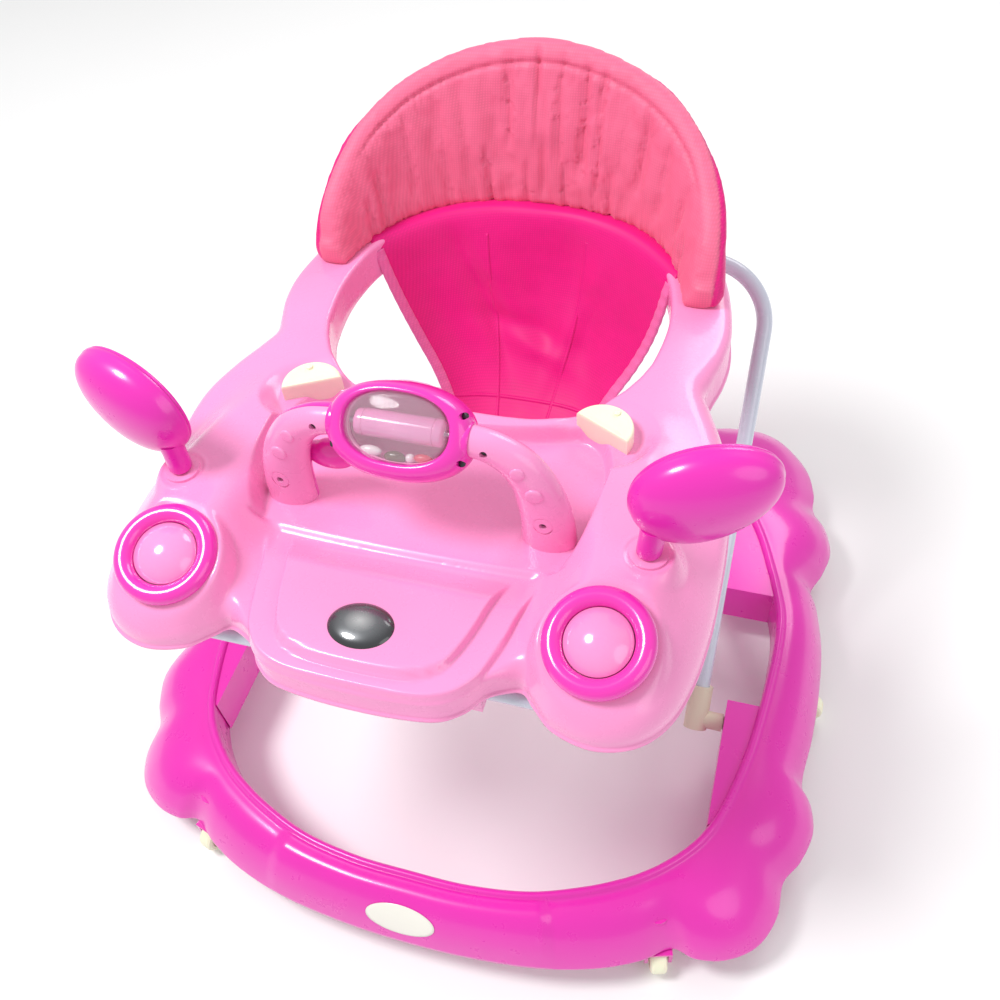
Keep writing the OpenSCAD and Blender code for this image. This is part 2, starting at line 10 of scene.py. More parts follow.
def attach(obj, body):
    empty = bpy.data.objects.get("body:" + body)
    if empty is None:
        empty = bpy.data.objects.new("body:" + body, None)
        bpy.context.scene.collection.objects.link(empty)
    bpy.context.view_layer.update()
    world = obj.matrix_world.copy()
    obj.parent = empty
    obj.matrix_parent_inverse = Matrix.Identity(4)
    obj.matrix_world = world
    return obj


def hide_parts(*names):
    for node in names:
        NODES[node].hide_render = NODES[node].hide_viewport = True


MM = 0.001
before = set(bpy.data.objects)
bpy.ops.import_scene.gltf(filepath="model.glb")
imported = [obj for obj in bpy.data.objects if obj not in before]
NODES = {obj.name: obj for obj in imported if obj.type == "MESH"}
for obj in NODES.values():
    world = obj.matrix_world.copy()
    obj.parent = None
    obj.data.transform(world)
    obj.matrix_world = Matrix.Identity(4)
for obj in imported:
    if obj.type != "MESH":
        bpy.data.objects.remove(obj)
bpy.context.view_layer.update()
scene = bpy.context.scene

# ------------------------------------------------------------------ shapes shared with the frame
RING_TOP, LIP_Z, RECESS_Z = 418.0, 378.0, 404.0
FENDER_H, WALL = 33.0, 3.0
BASE_LIP = 40.0
PAD_H, PAD_T, SEAT_DEPTH = 142.0, 26.0, 186.0
FOLD_SCALE = 1.5
LAMP = (153.5, -227.0, 425.0)
LAMP_TILT = 18.0

BASE_HALF = np.array([
    (0, -342, 0, -295), (60, -340, 52, -294), (120, -333, 105, -286), (170, -320, 150, -270),
    (206, -304, 182, -254), (231, -287, 200, -242), (252, -290, 212, -232), (278, -284, 223, -221),
    (302, -266, 233, -209), (315, -238, 240, -198), (317, -207, 247, -184), (330, -184, 253, -166),
    (338, -156, 259, -144), (334, -130, 264, -122), (324, -110, 268, -100), (329, -60, 274, -52),
    (331, -10, 278, 0), (329, 42, 277, 42), (320, 90, 267, 80), (312, 111, 261, 98),
    (322, 138, 254, 118), (328, 168, 246, 138), (320, 200, 236, 158), (305, 223, 225, 176),
    (303, 250, 213, 192), (292, 284, 199, 208), (268, 314, 183, 222), (238, 331, 168, 233),
    (208, 331, 152, 243), (184, 324, 136, 251), (130, 334, 104, 267), (65, 340, 52, 280),
    (0, 342, 0, 284)], float)
TRAY_HALF = np.array([
    (0, -286, 0, -43), (30, -285, 14, -43), (58, -281, 27, -43), (74, -271, 38, -42.8),
    (84, -258, 46, -42.3), (95, -251, 53, -41.8), (107, -248, 60, -41), (117, -257, 66, -39.8),
    (133, -270, 73, -38), (160, -276, 81, -35.5), (186, -268, 89, -31.5), (204, -248, 96, -27),
    (214, -218, 103, -21.5), (219, -180, 110, -15), (220, -140, 117, -7), (219, -100, 123, 1),
    (214, -62, 128, 10), (203, -25, 132, 18), (191, 2, 135, 26), (184, 18, 138, 35),
    (187, 36, 140, 46), (192, 58, 142, 62), (194, 85, 143, 82), (190, 116, 141, 106),
    (182, 148, 135, 133), (168, 182, 123, 158), (147, 212, 106, 179), (118, 238, 84, 196),
    (84, 257, 58, 208), (44, 269, 29, 214), (0, 273, 0, 216)], float)
RECESS_HALF = np.array([
    (0, -57), (40, -55), (75, -48), (100, -42), (116, -48), (126, -62), (131, -85), (129, -120),
    (124, -148), (117, -165), (105, -174), (0, -177)], float)
HOOD_HALF = np.array([
    (0, -283), (42, -282), (64, -276), (77, -265), (85, -250), (94, -212), (99, -150), (0, -150)], float)
HOOD_INNER_HALF = np.array([
    (0, -272), (36, -270), (55, -262), (65, -246), (74, -212), (82, -150), (0, -150)], float)
BACK_HALF = np.array([
    (0, 241), (44, 237), (82, 226), (114, 208), (138, 184), (154, 156), (164, 126), (167, 110)], float)
SEAT_LINE = np.array([
    (226, -0.012, 146, 76), (213, -0.012, 140, 73), (206, 0.05, 135, 70),
    (198, 0.22, 129, 61), (188, 0.40, 120, 51), (172, 0.57, 107, 39),
    (151, 0.72, 91, 27), (121, 0.86, 75, 14), (84, 0.96, 61, 5), (44, 1, 53, 0), (12, 0.89, 52, 0),
    (-10, 0.66, 56, 0), (-25, 0.4, 66, 0), (-34, 0.17, 76, 0)], float)


def ss(a, b, x):
    t = np.clip((np.asarray(x, float) - a) / (b - a), 0, 1)
    return t * t * (3 - 2 * t)


def catmull(a, b, c, d, t):
    return 0.5 * (2 * b + (c - a) * t + (2 * a - 5 * b + 4 * c - d) * t ** 2
                  + (3 * b - a - 3 * c + d) * t ** 3)


def smooth_ring(points, n):
    """A closed smooth curve through the points, n samples for each."""
    p = np.asarray(points, float)
    t = (np.arange(n) / n)[:, None]
    m = len(p)
    return np.concatenate([catmull(p[i - 1], p[i], p[(i + 1) % m], p[(i + 2) % m], t)
                           for i in range(m)])


def smooth_line(points, n):
    """An open smooth curve through the points, n samples for each span."""
    p = np.asarray(points, float)
    t = (np.arange(n) / n)[:, None]
    m = len(p)
    spans = [catmull(p[max(i - 1, 0)], p[i], p[i + 1], p[min(i + 2, m - 1)], t) for i in range(m - 1)]
    return np.concatenate(spans + [p[-1:]])


def both_sides(half):
    """A closed list from a half list that starts and ends on the middle line."""
    h = np.asarray(half, float)
    back = h[-2:0:-1].copy()
    back[:, ::2] *= -1
    return np.concatenate([h, back])


def mirrored_line(half):
    h = np.asarray(half, float)
    left = h[:0:-1].copy()
    left[:, 0] *= -1
    return np.concatenate([left, h])


def distance(points, outline):
    """Signed distance of x, y points from a closed outline: negative inside."""
    a = np.asarray(outline, float)
    b = np.roll(a, -1, axis=0)
    p = np.asarray(points, float)
    best = np.full(len(p), 1e9)
    inside = np.zeros(len(p), bool)
    for (ax, ay), (bx, by) in zip(a, b):
        ex, ey = bx - ax, by - ay
        length = ex * ex + ey * ey
        if length < 1e-12:
            continue
        t = np.clip(((p[:, 0] - ax) * ex + (p[:, 1] - ay) * ey) / length, 0, 1)
        d = np.hypot(p[:, 0] - ax - t * ex, p[:, 1] - ay - t * ey)
        best = np.minimum(best, d)
        if ay != by:
            cross = ((ay > p[:, 1]) != (by > p[:, 1])) & (
                p[:, 0] < (bx - ax) * (p[:, 1] - ay) / (by - ay) + ax)
            inside ^= cross
    return np.where(inside, -best, best)


def new_mesh(name, verts, faces, smooth=True):
    mesh = bpy.data.meshes.new(name)
    mesh.from_pydata([tuple(v) for v in np.asarray(verts) * MM], [], faces)
    mesh.validate()
    mesh.update()
    obj = bpy.data.objects.new(name, mesh)
    scene.collection.objects.link(obj)
    if smooth:
        mesh.shade_smooth()
    return obj


def loft(name, rings, around=True, along=False, caps=False, flip=False):
    """A skin over rings of points, shape (rings, points, 3) in mm."""
    r = np.asarray(rings, float)
    m, n = r.shape[:2]
    faces = []
    for i in range(m if along else m - 1):
        k = (i + 1) % m
        for j in range(n if around else n - 1):
            q = (j + 1) % n
            f = (i * n + j, i * n + q, k * n + q, k * n + j)
            faces.append(f[::-1] if flip else f)
    if caps:
        first = tuple(range(n))
        last = tuple((m - 1) * n + j for j in range(n))
        faces.append(first if flip else first[::-1])
        faces.append(last[::-1] if flip else last)
    return new_mesh(name, r.reshape(-1, 3), faces)


def outward(obj):
    """Turns every face outward on a closed piece."""
    bm = bmesh.new()
    bm.from_mesh(obj.data)
    bmesh.ops.recalc_face_normals(bm, faces=bm.faces)
    bm.to_mesh(obj.data)
    bm.free()
    return obj


def add_mod(obj, kind, **values):
    mod = obj.modifiers.new(kind.lower(), kind)
    for key, value in values.items():
        setattr(mod, key, value)
    return mod


def sharp_by_angle(obj, degrees=35):
    """Smooth shading with creases where faces meet sharply."""
    mesh = obj.data
    mesh.shade_smooth()
    mesh.set_sharp_from_angle(angle=math.radians(degrees))


# ------------------------------------------------------------------ materials
class Nodes:
    """A small helper that adds and links shader nodes."""

    def __init__(self, name):
        self.mat = bpy.data.materials.new(name)
        self.mat.use_nodes = True
        self.tree = self.mat.node_tree
        self.tree.nodes.clear()
        self.out = self.tree.nodes.new("ShaderNodeOutputMaterial")
        self.bsdf = self.tree.nodes.new("ShaderNodeBsdfPrincipled")
        self.link(self.bsdf.outputs[0], self.out.inputs[0])
        self.coord = self.tree.nodes.new("ShaderNodeTexCoord").outputs["Object"]

    def link(self, a, b):
        self.tree.links.new(a, b)

    def set(self, **values):
        for key, value in values.items():
            self.bsdf.inputs[key.replace("_", " ")].default_value = value

    def noise(self, scale, detail=4.0, rough=0.5, vector=None):
        n = self.tree.nodes.new("ShaderNodeTexNoise")
        n.inputs["Scale"].default_value = scale
        n.inputs["Detail"].default_value = detail
        n.inputs["Roughness"].default_value = rough
        self.link(vector or self.coord, n.inputs["Vector"])
        return n.outputs["Fac"]

    def mapping(self, scale, rotation=(0, 0, 0)):
        n = self.tree.nodes.new("ShaderNodeMapping")
        n.inputs["Scale"].default_value = scale
        n.inputs["Rotation"].default_value = rotation
        self.link(self.coord, n.inputs["Vector"])
        return n.outputs[0]

    def wave(self, scale, direction, vector=None, distortion=0.0):
        n = self.tree.nodes.new("ShaderNodeTexWave")
        n.bands_direction = direction
        n.inputs["Scale"].default_value = scale
        n.inputs["Distortion"].default_value = distortion
        self.link(vector or self.coord, n.inputs["Vector"])
        return n.outputs["Fac"]

    def ramp(self, fac, stops):
        n = self.tree.nodes.new("ShaderNodeValToRGB")
        while len(n.color_ramp.elements) < len(stops):
            n.color_ramp.elements.new(0.5)
        for e, (pos, col) in zip(n.color_ramp.elements, stops):
            e.position = pos
            e.color = (*col, 1) if len(col) == 3 else col
        self.link(fac, n.inputs[0])
        return n.outputs[0]

    def span(self, fac, low, high):
        n = self.tree.nodes.new("ShaderNodeMapRange")
        n.inputs["To Min"].default_value = low
        n.inputs["To Max"].default_value = high
        self.link(fac, n.inputs["Value"])
        return n.outputs[0]

    def math(self, op, a, b):
        n = self.tree.nodes.new("ShaderNodeMath")
        n.operation = op
        for k, v in enumerate((a, b)):
            if isinstance(v, (int, float)):
                n.inputs[k].default_value = v
            else:
                self.link(v, n.inputs[k])
        return n.outputs[0]

    def bump(self, height, strength, distance, normal=None):
        n = self.tree.nodes.new("ShaderNodeBump")
        n.inputs["Strength"].default_value = strength
        n.inputs["Distance"].default_value = distance
        self.link(height, n.inputs["Height"])
        if normal is not None:
            self.link(normal, n.inputs["Normal"])
        return n.outputs[0]


def srgb(r, g, b):
    def lin(c):
        c /= 255.0
        return c / 12.92 if c <= 0.04045 else ((c + 0.055) / 1.055) ** 2.4
    return (lin(r), lin(g), lin(b))


def shade(col, k):
    return tuple(min(1.0, c * k) for c in col)


def plastic(name, colour, rough=0.28, coat=0.35, scatter=0.08, texture=0.6):
    """Injection moulded plastic: slight flow clouds, fine orange peel and faint handling marks."""
    n = Nodes(name)
    n.set(Metallic=0.0, IOR=1.49)
    n.set(Coat_Weight=coat, Coat_Roughness=0.12, Subsurface_Weight=scatter, Subsurface_Scale=0.004)
    n.bsdf.inputs["Subsurface Radius"].default_value = (1.0, 0.45, 0.6)
    cloud = n.noise(9.0, 3.0)
    col = n.ramp(cloud, [(0.30, shade(colour, 0.96)), (0.72, shade(colour, 1.02))])
    n.link(col, n.bsdf.inputs["Base Color"])
    marks = n.noise(46.0, 5.0, 0.65)
    n.link(n.span(marks, rough - 0.03, rough + 0.06), n.bsdf.inputs["Roughness"])
    peel = n.noise(420.0, 2.0, 0.4)
    wave = n.noise(28.0, 2.0, 0.4)
    first = n.bump(wave, 0.05 * texture, 0.0006)
    n.link(n.bump(peel, 0.08 * texture, 0.00012, first), n.bsdf.inputs["Normal"])
    return n.mat


def fabric(name, colour, dark=0.82, weave=1500.0, sheen=0.35, rough=0.55, rear=None):
    """Fine woven polyester: crossing threads, slubs and a soft sheen."""
    n = Nodes(name)
    n.set(Metallic=0.0, Sheen_Weight=sheen, Sheen_Roughness=0.35, Specular_IOR_Level=0.4)
    n.bsdf.inputs["Sheen Tint"].default_value = (1.0, 0.85, 0.92, 1.0)
    warp = n.wave(weave / 10.0, "X", n.mapping((1, 1, 0.15), (0, 0, 0.2)), 0.4)
    weft = n.wave(weave / 10.0, "Z", n.mapping((0.12, 0.12, 1)), 0.4)
    cloth = n.math("MULTIPLY", warp, weft)
    slub = n.noise(34.0, 3.0, 0.5, n.mapping((1, 1, 2)))
    mixed = n.math("ADD", n.math("MULTIPLY", cloth, 0.4), n.math("MULTIPLY", slub, 0.4))
    col = n.ramp(mixed, [(0.10, shade(colour, dark)), (0.55, colour)])
    if rear:
        mask = n.tree.nodes.new("ShaderNodeAttribute")
        mask.attribute_name = "rear"
        mix = n.tree.nodes.new("ShaderNodeMix")
        mix.data_type = "RGBA"
        n.link(mask.outputs["Fac"], mix.inputs["Factor"])
        n.link(col, mix.inputs["A"])
        n.link(n.ramp(mixed, [(0.10, shade(rear, dark)), (0.55, rear)]), mix.inputs["B"])
        col = mix.outputs["Result"]
    n.link(col, n.bsdf.inputs["Base Color"])
    n.link(n.span(slub, rough - 0.08, rough + 0.08), n.bsdf.inputs["Roughness"])
    first = n.bump(n.noise(22.0, 3.0, 0.5), 0.10, 0.0012)
    n.link(n.bump(cloth, 0.35, 0.00018, first), n.bsdf.inputs["Normal"])
    return n.mat


def metal_paint(name, colour):
    n = Nodes(name)
    n.set(Metallic=0.0, Coat_Weight=0.6, Coat_Roughness=0.06, IOR=1.5)
    n.link(n.ramp(n.noise(30.0, 4.0), [(0.3, shade(colour, 0.95)), (0.75, colour)]),
           n.bsdf.inputs["Base Color"])
    n.link(n.span(n.noise(90.0, 5.0, 0.7), 0.18, 0.34), n.bsdf.inputs["Roughness"])
    n.link(n.bump(n.noise(260.0, 2.0), 0.10, 0.0003), n.bsdf.inputs["Normal"])
    return n.mat


def steel(name, colour=(0.62, 0.63, 0.66), rough=0.3):
    n = Nodes(name)
    n.set(Metallic=1.0)
    n.link(n.ramp(n.noise(120.0, 4.0), [(0.3, shade(colour, 0.8)), (0.7, colour)]),
           n.bsdf.inputs["Base Color"])
    n.link(n.span(n.noise(300.0, 3.0), rough - 0.08, rough + 0.12), n.bsdf.inputs["Roughness"])
    n.link(n.bump(n.noise(500.0, 2.0), 0.1, 0.0002), n.bsdf.inputs["Normal"])
    return n.mat


def clear(name, tint=(1.0, 0.86, 0.95)):
    """Thin clear moulding: mostly see-through, with a hard gloss and faint handling haze."""
    n = Nodes(name)
    n.set(Metallic=0.0, IOR=1.49, Specular_IOR_Level=0.9, Coat_Weight=1.0, Coat_Roughness=0.03)
    n.link(n.ramp(n.noise(6.0, 2.0), [(0.3, tint), (0.8, shade(tint, 1.05))]), n.bsdf.inputs["Base Color"])
    n.link(n.span(n.noise(80.0, 4.0), 0.03, 0.10), n.bsdf.inputs["Roughness"])
    n.link(n.span(n.noise(14.0, 3.0), 0.05, 0.12), n.bsdf.inputs["Alpha"])
    return n.mat


def badge_gloss(name):
    """Metallised print under a clear dome: pale in the middle, dark at the rim."""
    n = Nodes(name)
    n.set(Metallic=0.35, Coat_Weight=1.0, Coat_Roughness=0.04, Specular_IOR_Level=0.6)
    grad = n.tree.nodes.new("ShaderNodeTexGradient")
    grad.gradient_type = "SPHERICAL"
    m = n.tree.nodes.new("ShaderNodeMapping")
    m.inputs["Location"].default_value = (0.003 / 0.0255, 0.2425 / 0.0197, 0)
    m.inputs["Scale"].default_value = (1 / 0.0255, 1 / 0.0197, 0)
    n.link(n.coord, m.inputs["Vector"])
    n.link(m.outputs[0], grad.inputs[0])
    col = n.ramp(grad.outputs[0], [(0.0, srgb(34, 35, 38)), (0.18, srgb(52, 54, 58)),
                                   (0.55, srgb(104, 107, 110)), (1.0, srgb(190, 192, 192))])
    n.link(col, n.bsdf.inputs["Base Color"])
    n.link(n.span(n.noise(120.0, 4.0), 0.22, 0.34), n.bsdf.inputs["Roughness"])
    return n.mat


M = {
    "magenta": plastic("magenta_plastic", srgb(231, 38, 178), rough=0.27, coat=0.45, scatter=0.0),
    "magenta_rim": plastic("magenta_rim_plastic", srgb(238, 48, 178), rough=0.20, coat=0.7, scatter=0.0),
    "pink": plastic("pink_plastic", srgb(247, 150, 203), rough=0.26, coat=0.4, scatter=0.0),
    "dome": plastic("dome_plastic", srgb(246, 148, 205), rough=0.14, coat=0.9, scatter=0.1),
    "cream": plastic("cream_plastic", srgb(244, 244, 214), rough=0.42, coat=0.1, scatter=0.15),
    "fitting": plastic("fitting_plastic", srgb(222, 213, 190), rough=0.5, coat=0.05, scatter=0.1),
    "tube": metal_paint("painted_tube", srgb(206, 211, 226)),
    "steel": steel("pin_steel"),
    "screw": steel("dark_screw", (0.09, 0.09, 0.1), 0.4),
    "badge": badge_gloss("badge_gloss"),
    "label": plastic("label_print", srgb(240, 238, 228), rough=0.35, coat=0.4, scatter=0.0),
    "clear": clear("clear_window"),
    "mirror": steel("mirror_foil", (0.9, 0.92, 0.95), 0.09),
    "olive": plastic("olive_plastic", srgb(86, 74, 22), rough=0.25, coat=0.5),
    "white": plastic("white_plastic", srgb(246, 240, 240), rough=0.25, coat=0.5),
    "red": plastic("red_plastic", srgb(226, 30, 70), rough=0.25, coat=0.5),
    "pad": fabric("pad_fabric", srgb(245, 112, 150), rear=srgb(232, 14, 130)),
    "seat": fabric("seat_fabric", srgb(238, 10, 136)),
    "binding": fabric("binding_fabric", srgb(248, 120, 186)),
}


def paint(obj, mat):
    obj.data.materials.clear()
    obj.data.materials.append(M[mat])
    return obj


NODE_LOOK = {
    "label_sticker": "label", "rear_tube": "tube", "front_tube": "tube", "rear_tube_feet": "fitting",
    "front_tube_feet": "fitting", "front_hinge_clips": "pink", "rear_rack": "pink",
    "hood_badge": "badge", "lamp_rims": "magenta_rim", "lamp_domes": "dome", "tray_shell": "pink",
    "latch_knob_left": "cream", "latch_knob_right": "cream", "mirror_collars": "pink",
    "mirror_glass_left": "mirror", "mirror_glass_right": "mirror", "steering_arms": "pink",
    "steering_screws": "screw", "pod_window": "clear", "pod_roller": "pink", "roller_pin": "steel",
    "rattle_beads": "olive", "backrest_frame": "pink", "backrest_pad": "pad", "seat_sling": "seat",
    "seat_binding": "binding", "seat_buttons": "cream"}
for name, obj in NODES.items():
    look = NODE_LOOK.get(name, "magenta")
    if name.startswith("caster_wheel"):
        look = "cream"
    if name.startswith("caster_axle"):
        look = "steel"
    obj.data.materials.clear()
    obj.data.materials.append(M[look])

# ------------------------------------------------------------------ camera, light, floor
AZ, EL, ROLL, FOCAL_PX = 21.51, 50.59, 7.0, 998.77
EYE = (224.71, -544.71, 967.14)


def place_camera():
    az, el, roll = (math.radians(v) for v in (AZ, EL, ROLL))
    fwd = Vector((-math.sin(az) * math.cos(el), math.cos(az) * math.cos(el), -math.sin(el)))
    right0 = Vector((math.cos(az), math.sin(az), 0))
    down0 = fwd.cross(right0)
    right = right0 * math.cos(roll) + down0 * math.sin(roll)
    down = fwd.cross(right)
    m = Matrix((right, -down, -fwd)).transposed().to_4x4()
    m.translation = Vector(EYE) * MM
    cam = bpy.data.cameras.new("camera")
    cam.sensor_fit = "HORIZONTAL"
    cam.sensor_width = 36.0
    cam.lens = FOCAL_PX / 1000.0 * 36.0
    cam.clip_start, cam.clip_end = 0.01, 50.0
    obj = bpy.data.objects.new("camera", cam)
    obj.matrix_world = m
    scene.collection.objects.link(obj)
    scene.camera = obj


def area_light(name, loc, target, size, power, colour=(1, 1, 1)):
    light = bpy.data.lights.new(name, "AREA")
    light.shape = "DISK"
    light.size = size
    light.energy = power
    light.color = colour
    obj = bpy.data.objects.new(name, light)
    obj.location = loc
    obj.rotation_euler = (Vector(target) - Vector(loc)).to_track_quat("-Z", "Y").to_euler()
    scene.collection.objects.link(obj)


def set_stage():
    mesh = bpy.data.meshes.new("floor")
    s, low = 6.0, -0.0005
    corners = [(-s, -s, low), (s, -s, low), (s, s, low), (-s, s, low)]
    mesh.from_pydata(corners, [], [(0, 1, 2, 3)])
    floor = bpy.data.objects.new("floor", mesh)
    scene.collection.objects.link(floor)
    n = Nodes("floor_pale")
    n.set(Roughness=0.75)
    n.link(n.ramp(n.noise(1.5, 2.0), [(0.3, (0.93, 0.93, 0.93)), (0.7, (0.95, 0.95, 0.95))]),
           n.bsdf.inputs["Base Color"])
    mesh.materials.append(n.mat)
    world = bpy.data.worlds.new("studio")
    world.use_nodes = True
    world.node_tree.nodes["Background"].inputs[0].default_value = (1, 1, 1, 1)
    world.node_tree.nodes["Background"].inputs[1].default_value = 0.62
    scene.world = world
    scene.view_settings.view_transform = "Standard"
    area_light("key", (-1.0, -0.5, 2.3), (0, 0, 0.3), 0.7, 36)
    area_light("fill", (1.9, -0.9, 1.5), (0, 0, 0.3), 1.6, 9)
    area_light("back", (0.7, 1.9, 2.0), (0, 0, 0.4), 1.2, 16)


# ------------------------------------------------------------------ base moulding
def build_base():
    """The lobed ring: inner wall, rolled bead and groove, then a slope to the outer lip."""
    pts = smooth_ring(both_sides(BASE_HALF), 10)
    outer, inner = pts[:, :2], pts[:, 2:]
    span = outer - inner
    width = np.linalg.norm(span, axis=1, keepdims=True)
    w = span / width
    # share of the way out, mm out, z below the top
    prof = [(0, 0, BASE_LIP), (0, 0, 60), (0, 0, 86), (0, 0, 89.5), (0, 0.5, 92), (0, 1.7, 94),
            (0, 3.4, 95), (0, 5.2, 94.8), (0, 6.6, 93.6), (0, 7.6, 91.9), (0, 8.8, 90.8), (0, 10.6, 90.5),
            (0, 13.0, 90.6)]
    prof += [(u, 13.0 * (1 - u), z) for u, z in (
        (0.08, 90.3), (0.18, 89.2), (0.28, 87.2), (0.38, 84.4), (0.48, 80.8), (0.58, 76.2),
        (0.67, 71.2), (0.75, 65.9), (0.82, 60.5), (0.88, 55.2), (0.925, 50.8), (0.96, 47.0),
        (0.985, 44.0), (1.0, 42.2), (1.0, 41.0), (1.0, BASE_LIP))]
    prof += [(1.0, -2.6, BASE_LIP), (0.985, -2.6, 42.0), (0.93, -2.6, 47.0), (0.8, -2.0, 58.5),
             (0.6, -1, 72.0), (0.4, 0, 80.5), (0.2, 2, 85.5), (0.1, 6, 86.8), (0, 6, 88), (0, 3.0, 88),
             (0, 2.8, 80), (0, 2.8, BASE_LIP)]
    lobes = [(262, -268), (318, -160), (308, 168), (250, 302)]
    ends = ss(137.5, 131.5, np.abs(pts[:, 0]))[:, None]
    rings = []
    for u, d, z in prof:
        c = inner + span * u + w * d
        zz = np.full(len(c), float(z))
        if BASE_LIP < z < 94.9 and 0.02 < u + d / 60.0:
            ax = np.abs(c[:, 0])
            swell = sum(np.exp(-((ax - x) ** 2 + (c[:, 1] - y) ** 2) / (2 * 24.0 ** 2)) for x, y in lobes)
            rise = ss(40, 52, zz) * swell * 5.0
            bar = ends[:, 0] * np.where(z < 91.5, 1.0, 0.0)
            rise = rise + bar * (2.6 + 2.0 * ss(0.02, 0.25, u) * (1 - ss(0.8, 1.0, u)))
            zz = zz + rise
        rings.append(np.column_stack([c, zz]))
    obj = outward(loft("base_moulding", rings, along=True))
    return finish_piece(obj, "magenta", "base", "magenta_plastic", "base_ring")


# ------------------------------------------------------------------ tray moulding
def fender_x(y):
    return 157 - 27 * ss(-170, -30, y)


def deck(x, y):
    fender = FENDER_H * ss(-292, -180, y) * (1 - 0.95 * ss(-150, -15, y)) * (
        1 - ss(16, 64, np.abs(np.abs(x) - fender_x(y))))
    return 401 + (RING_TOP - 401) * ss(-150, -48, y) + fender


def edge_radius(x, y):
    """A tight edge round the hood, a full one round the lamps, a middling one round the ring."""
    hood = 1 - ss(86, 112, np.abs(x))
    front = 1 - ss(-235, -190, y)
    ring = ss(-10, 60, y)
    full = 19.0 - 9.0 * ring
    return full + (5.0 - full) * hood * front


def tray_height(c, outline, opening, recess, hood, hood_inner):
    """Height of the moulding's top at each point c, and how far it has dropped at its edges."""
    x, y = c[:, 0], c[:, 1]
    z = deck(x, y)
    # a tilted round seat for each lamp
    dy, dx = y - LAMP[1], np.abs(x) - LAMP[0]
    plane = LAMP[2] - 5.0 + dy * math.tan(math.radians(LAMP_TILT)) - 0.07 * dx
    near = 1 - ss(39.0, 47.0, np.hypot(dx, dy * 1.05))
    z = z + (plane - z) * near
    # level seats under the latch knobs, and a low boss ring round each mirror stalk
    far = np.hypot(np.abs(x) - 116.5, y + 51)
    z = z + (np.minimum(z, 415.5) - z) * (1 - ss(27.0, 44.0, far)) * ss(-20.0, -26.0, distance(c, outline))
    far = np.hypot(np.abs(x) - 172, y + 160)
    z = z + (434.0 - z) * (1 - ss(15.0, 27.0, far)) + 0.9 * np.exp(-((far - 17.0) / 1.3) ** 2)
    # hood panel: a ledge, then a raised middle, both dying out towards the play recess
    fade = 1 - ss(-206, -178, y)
    z = z + 5.0 * ss(0.9, -1.4, distance(c, hood)) * fade
    z = z + 6.5 * ss(0.9, -1.8, distance(c, hood_inner)) * fade
    # play recess with a rounded rim and a filleted foot
    d = distance(c, recess)
    z = np.where(y > -176.5, z + (RECESS_Z - z) * ss(1.5, -6.0, d), z)
    edge = -distance(c, outline)
    r = edge_radius(x, y)
    e = np.clip(edge, 0, r)
    z = z - (r - np.sqrt(np.maximum(0, r * r - (r - e) ** 2)))
    e2 = np.clip(distance(c, opening), 0, 4.5)
    return z - (4.5 - np.sqrt(np.maximum(0, 4.5 ** 2 - (4.5 - e2) ** 2)))


def build_tray():
    n = 12
    pts = smooth_ring(both_sides(TRAY_HALF), n)
    outline, opening = pts[:, :2], pts[:, 2:]
    recess = smooth_ring(both_sides(RECESS_HALF), 6)
    hood = smooth_ring(both_sides(HOOD_HALF), 6)
    hood_inner = smooth_ring(both_sides(HOOD_INNER_HALF), 6)
    w = opening - outline
    gap = np.linalg.norm(w, axis=1, keepdims=True)
    w = w / gap
    near_out = [0.05, 0.4, 0.9, 1.5, 2.3, 3.2, 4.3, 5.6, 7.1, 8.8, 10.7, 12.9, 15.4, 18.2, 21.2]
    near_in = [6.0, 4.6, 3.4, 2.4, 1.5, 0.8, 0.3, 0.04]
    rings = []

    def level(c, z):
        rings.append(np.column_stack([c, np.full(len(c), float(z)) if np.isscalar(z) else z]))

    def top(c, drop=0.0):
        level(c, tray_height(c, outline, opening, recess, hood, hood_inner) - drop)

    level(outline + w * 0.4, LIP_Z)
    level(outline - w * 1.5, LIP_Z)
    level(outline - w * 2.0, LIP_Z + 0.5)
    level(outline - w * 2.0, LIP_Z + 2.0)
    level(outline - w * 1.5, LIP_Z + 2.6)
    level(outline - w * 0.5, LIP_Z + 2.9)
    level(outline, LIP_Z + 3.6)
    for d in near_out:
        top(outline + w * d)
    a, b = outline + w * 24.0, opening - w * 8.0
    steps = 150
    for k in range(steps + 1):
        top(a + (b - a) * (k / steps))
    for d in near_in:
        top(opening - w * d)
    for z in (RING_TOP - 8, RING_TOP - 16, RING_TOP - 24, RING_TOP - 31.2):
        level(opening, z)
    level(opening - w * 0.4, RING_TOP - 32)
    level(opening - w * (WALL - 0.4), RING_TOP - 32)
    level(opening - w * WALL, RING_TOP - 31.2)
    level(opening - w * WALL, RING_TOP - 7)
    for k in range(30, -1, -1):
        top(outline + w * 8 + (opening - w * 6 - outline - w * 8) * (k / 30), WALL)
    level(outline + w * 2.6, LIP_Z + 6.0)
    level(outline + w * 2.4, LIP_Z)
    obj = outward(loft("tray_moulding", rings, along=True))
    return finish_piece(obj, "pink", "tray", "pink_plastic", "tray_shell")


# ------------------------------------------------------------------ small mesh tools
def bake(obj):
    """Applies every modifier on the object."""
    dg = bpy.context.evaluated_depsgraph_get()
    mesh = bpy.data.meshes.new_from_object(obj.evaluated_get(dg))
    obj.modifiers.clear()
    obj.data = mesh
    return obj


def cut(obj, tools):
    """Cuts the tool solids out of the object."""
    for tool in tools:
        add_mod(obj, "BOOLEAN", operation="DIFFERENCE", solver="EXACT", object=tool)
    bake(obj)
    for tool in tools:
        bpy.data.objects.remove(tool, do_unlink=True)
    return obj


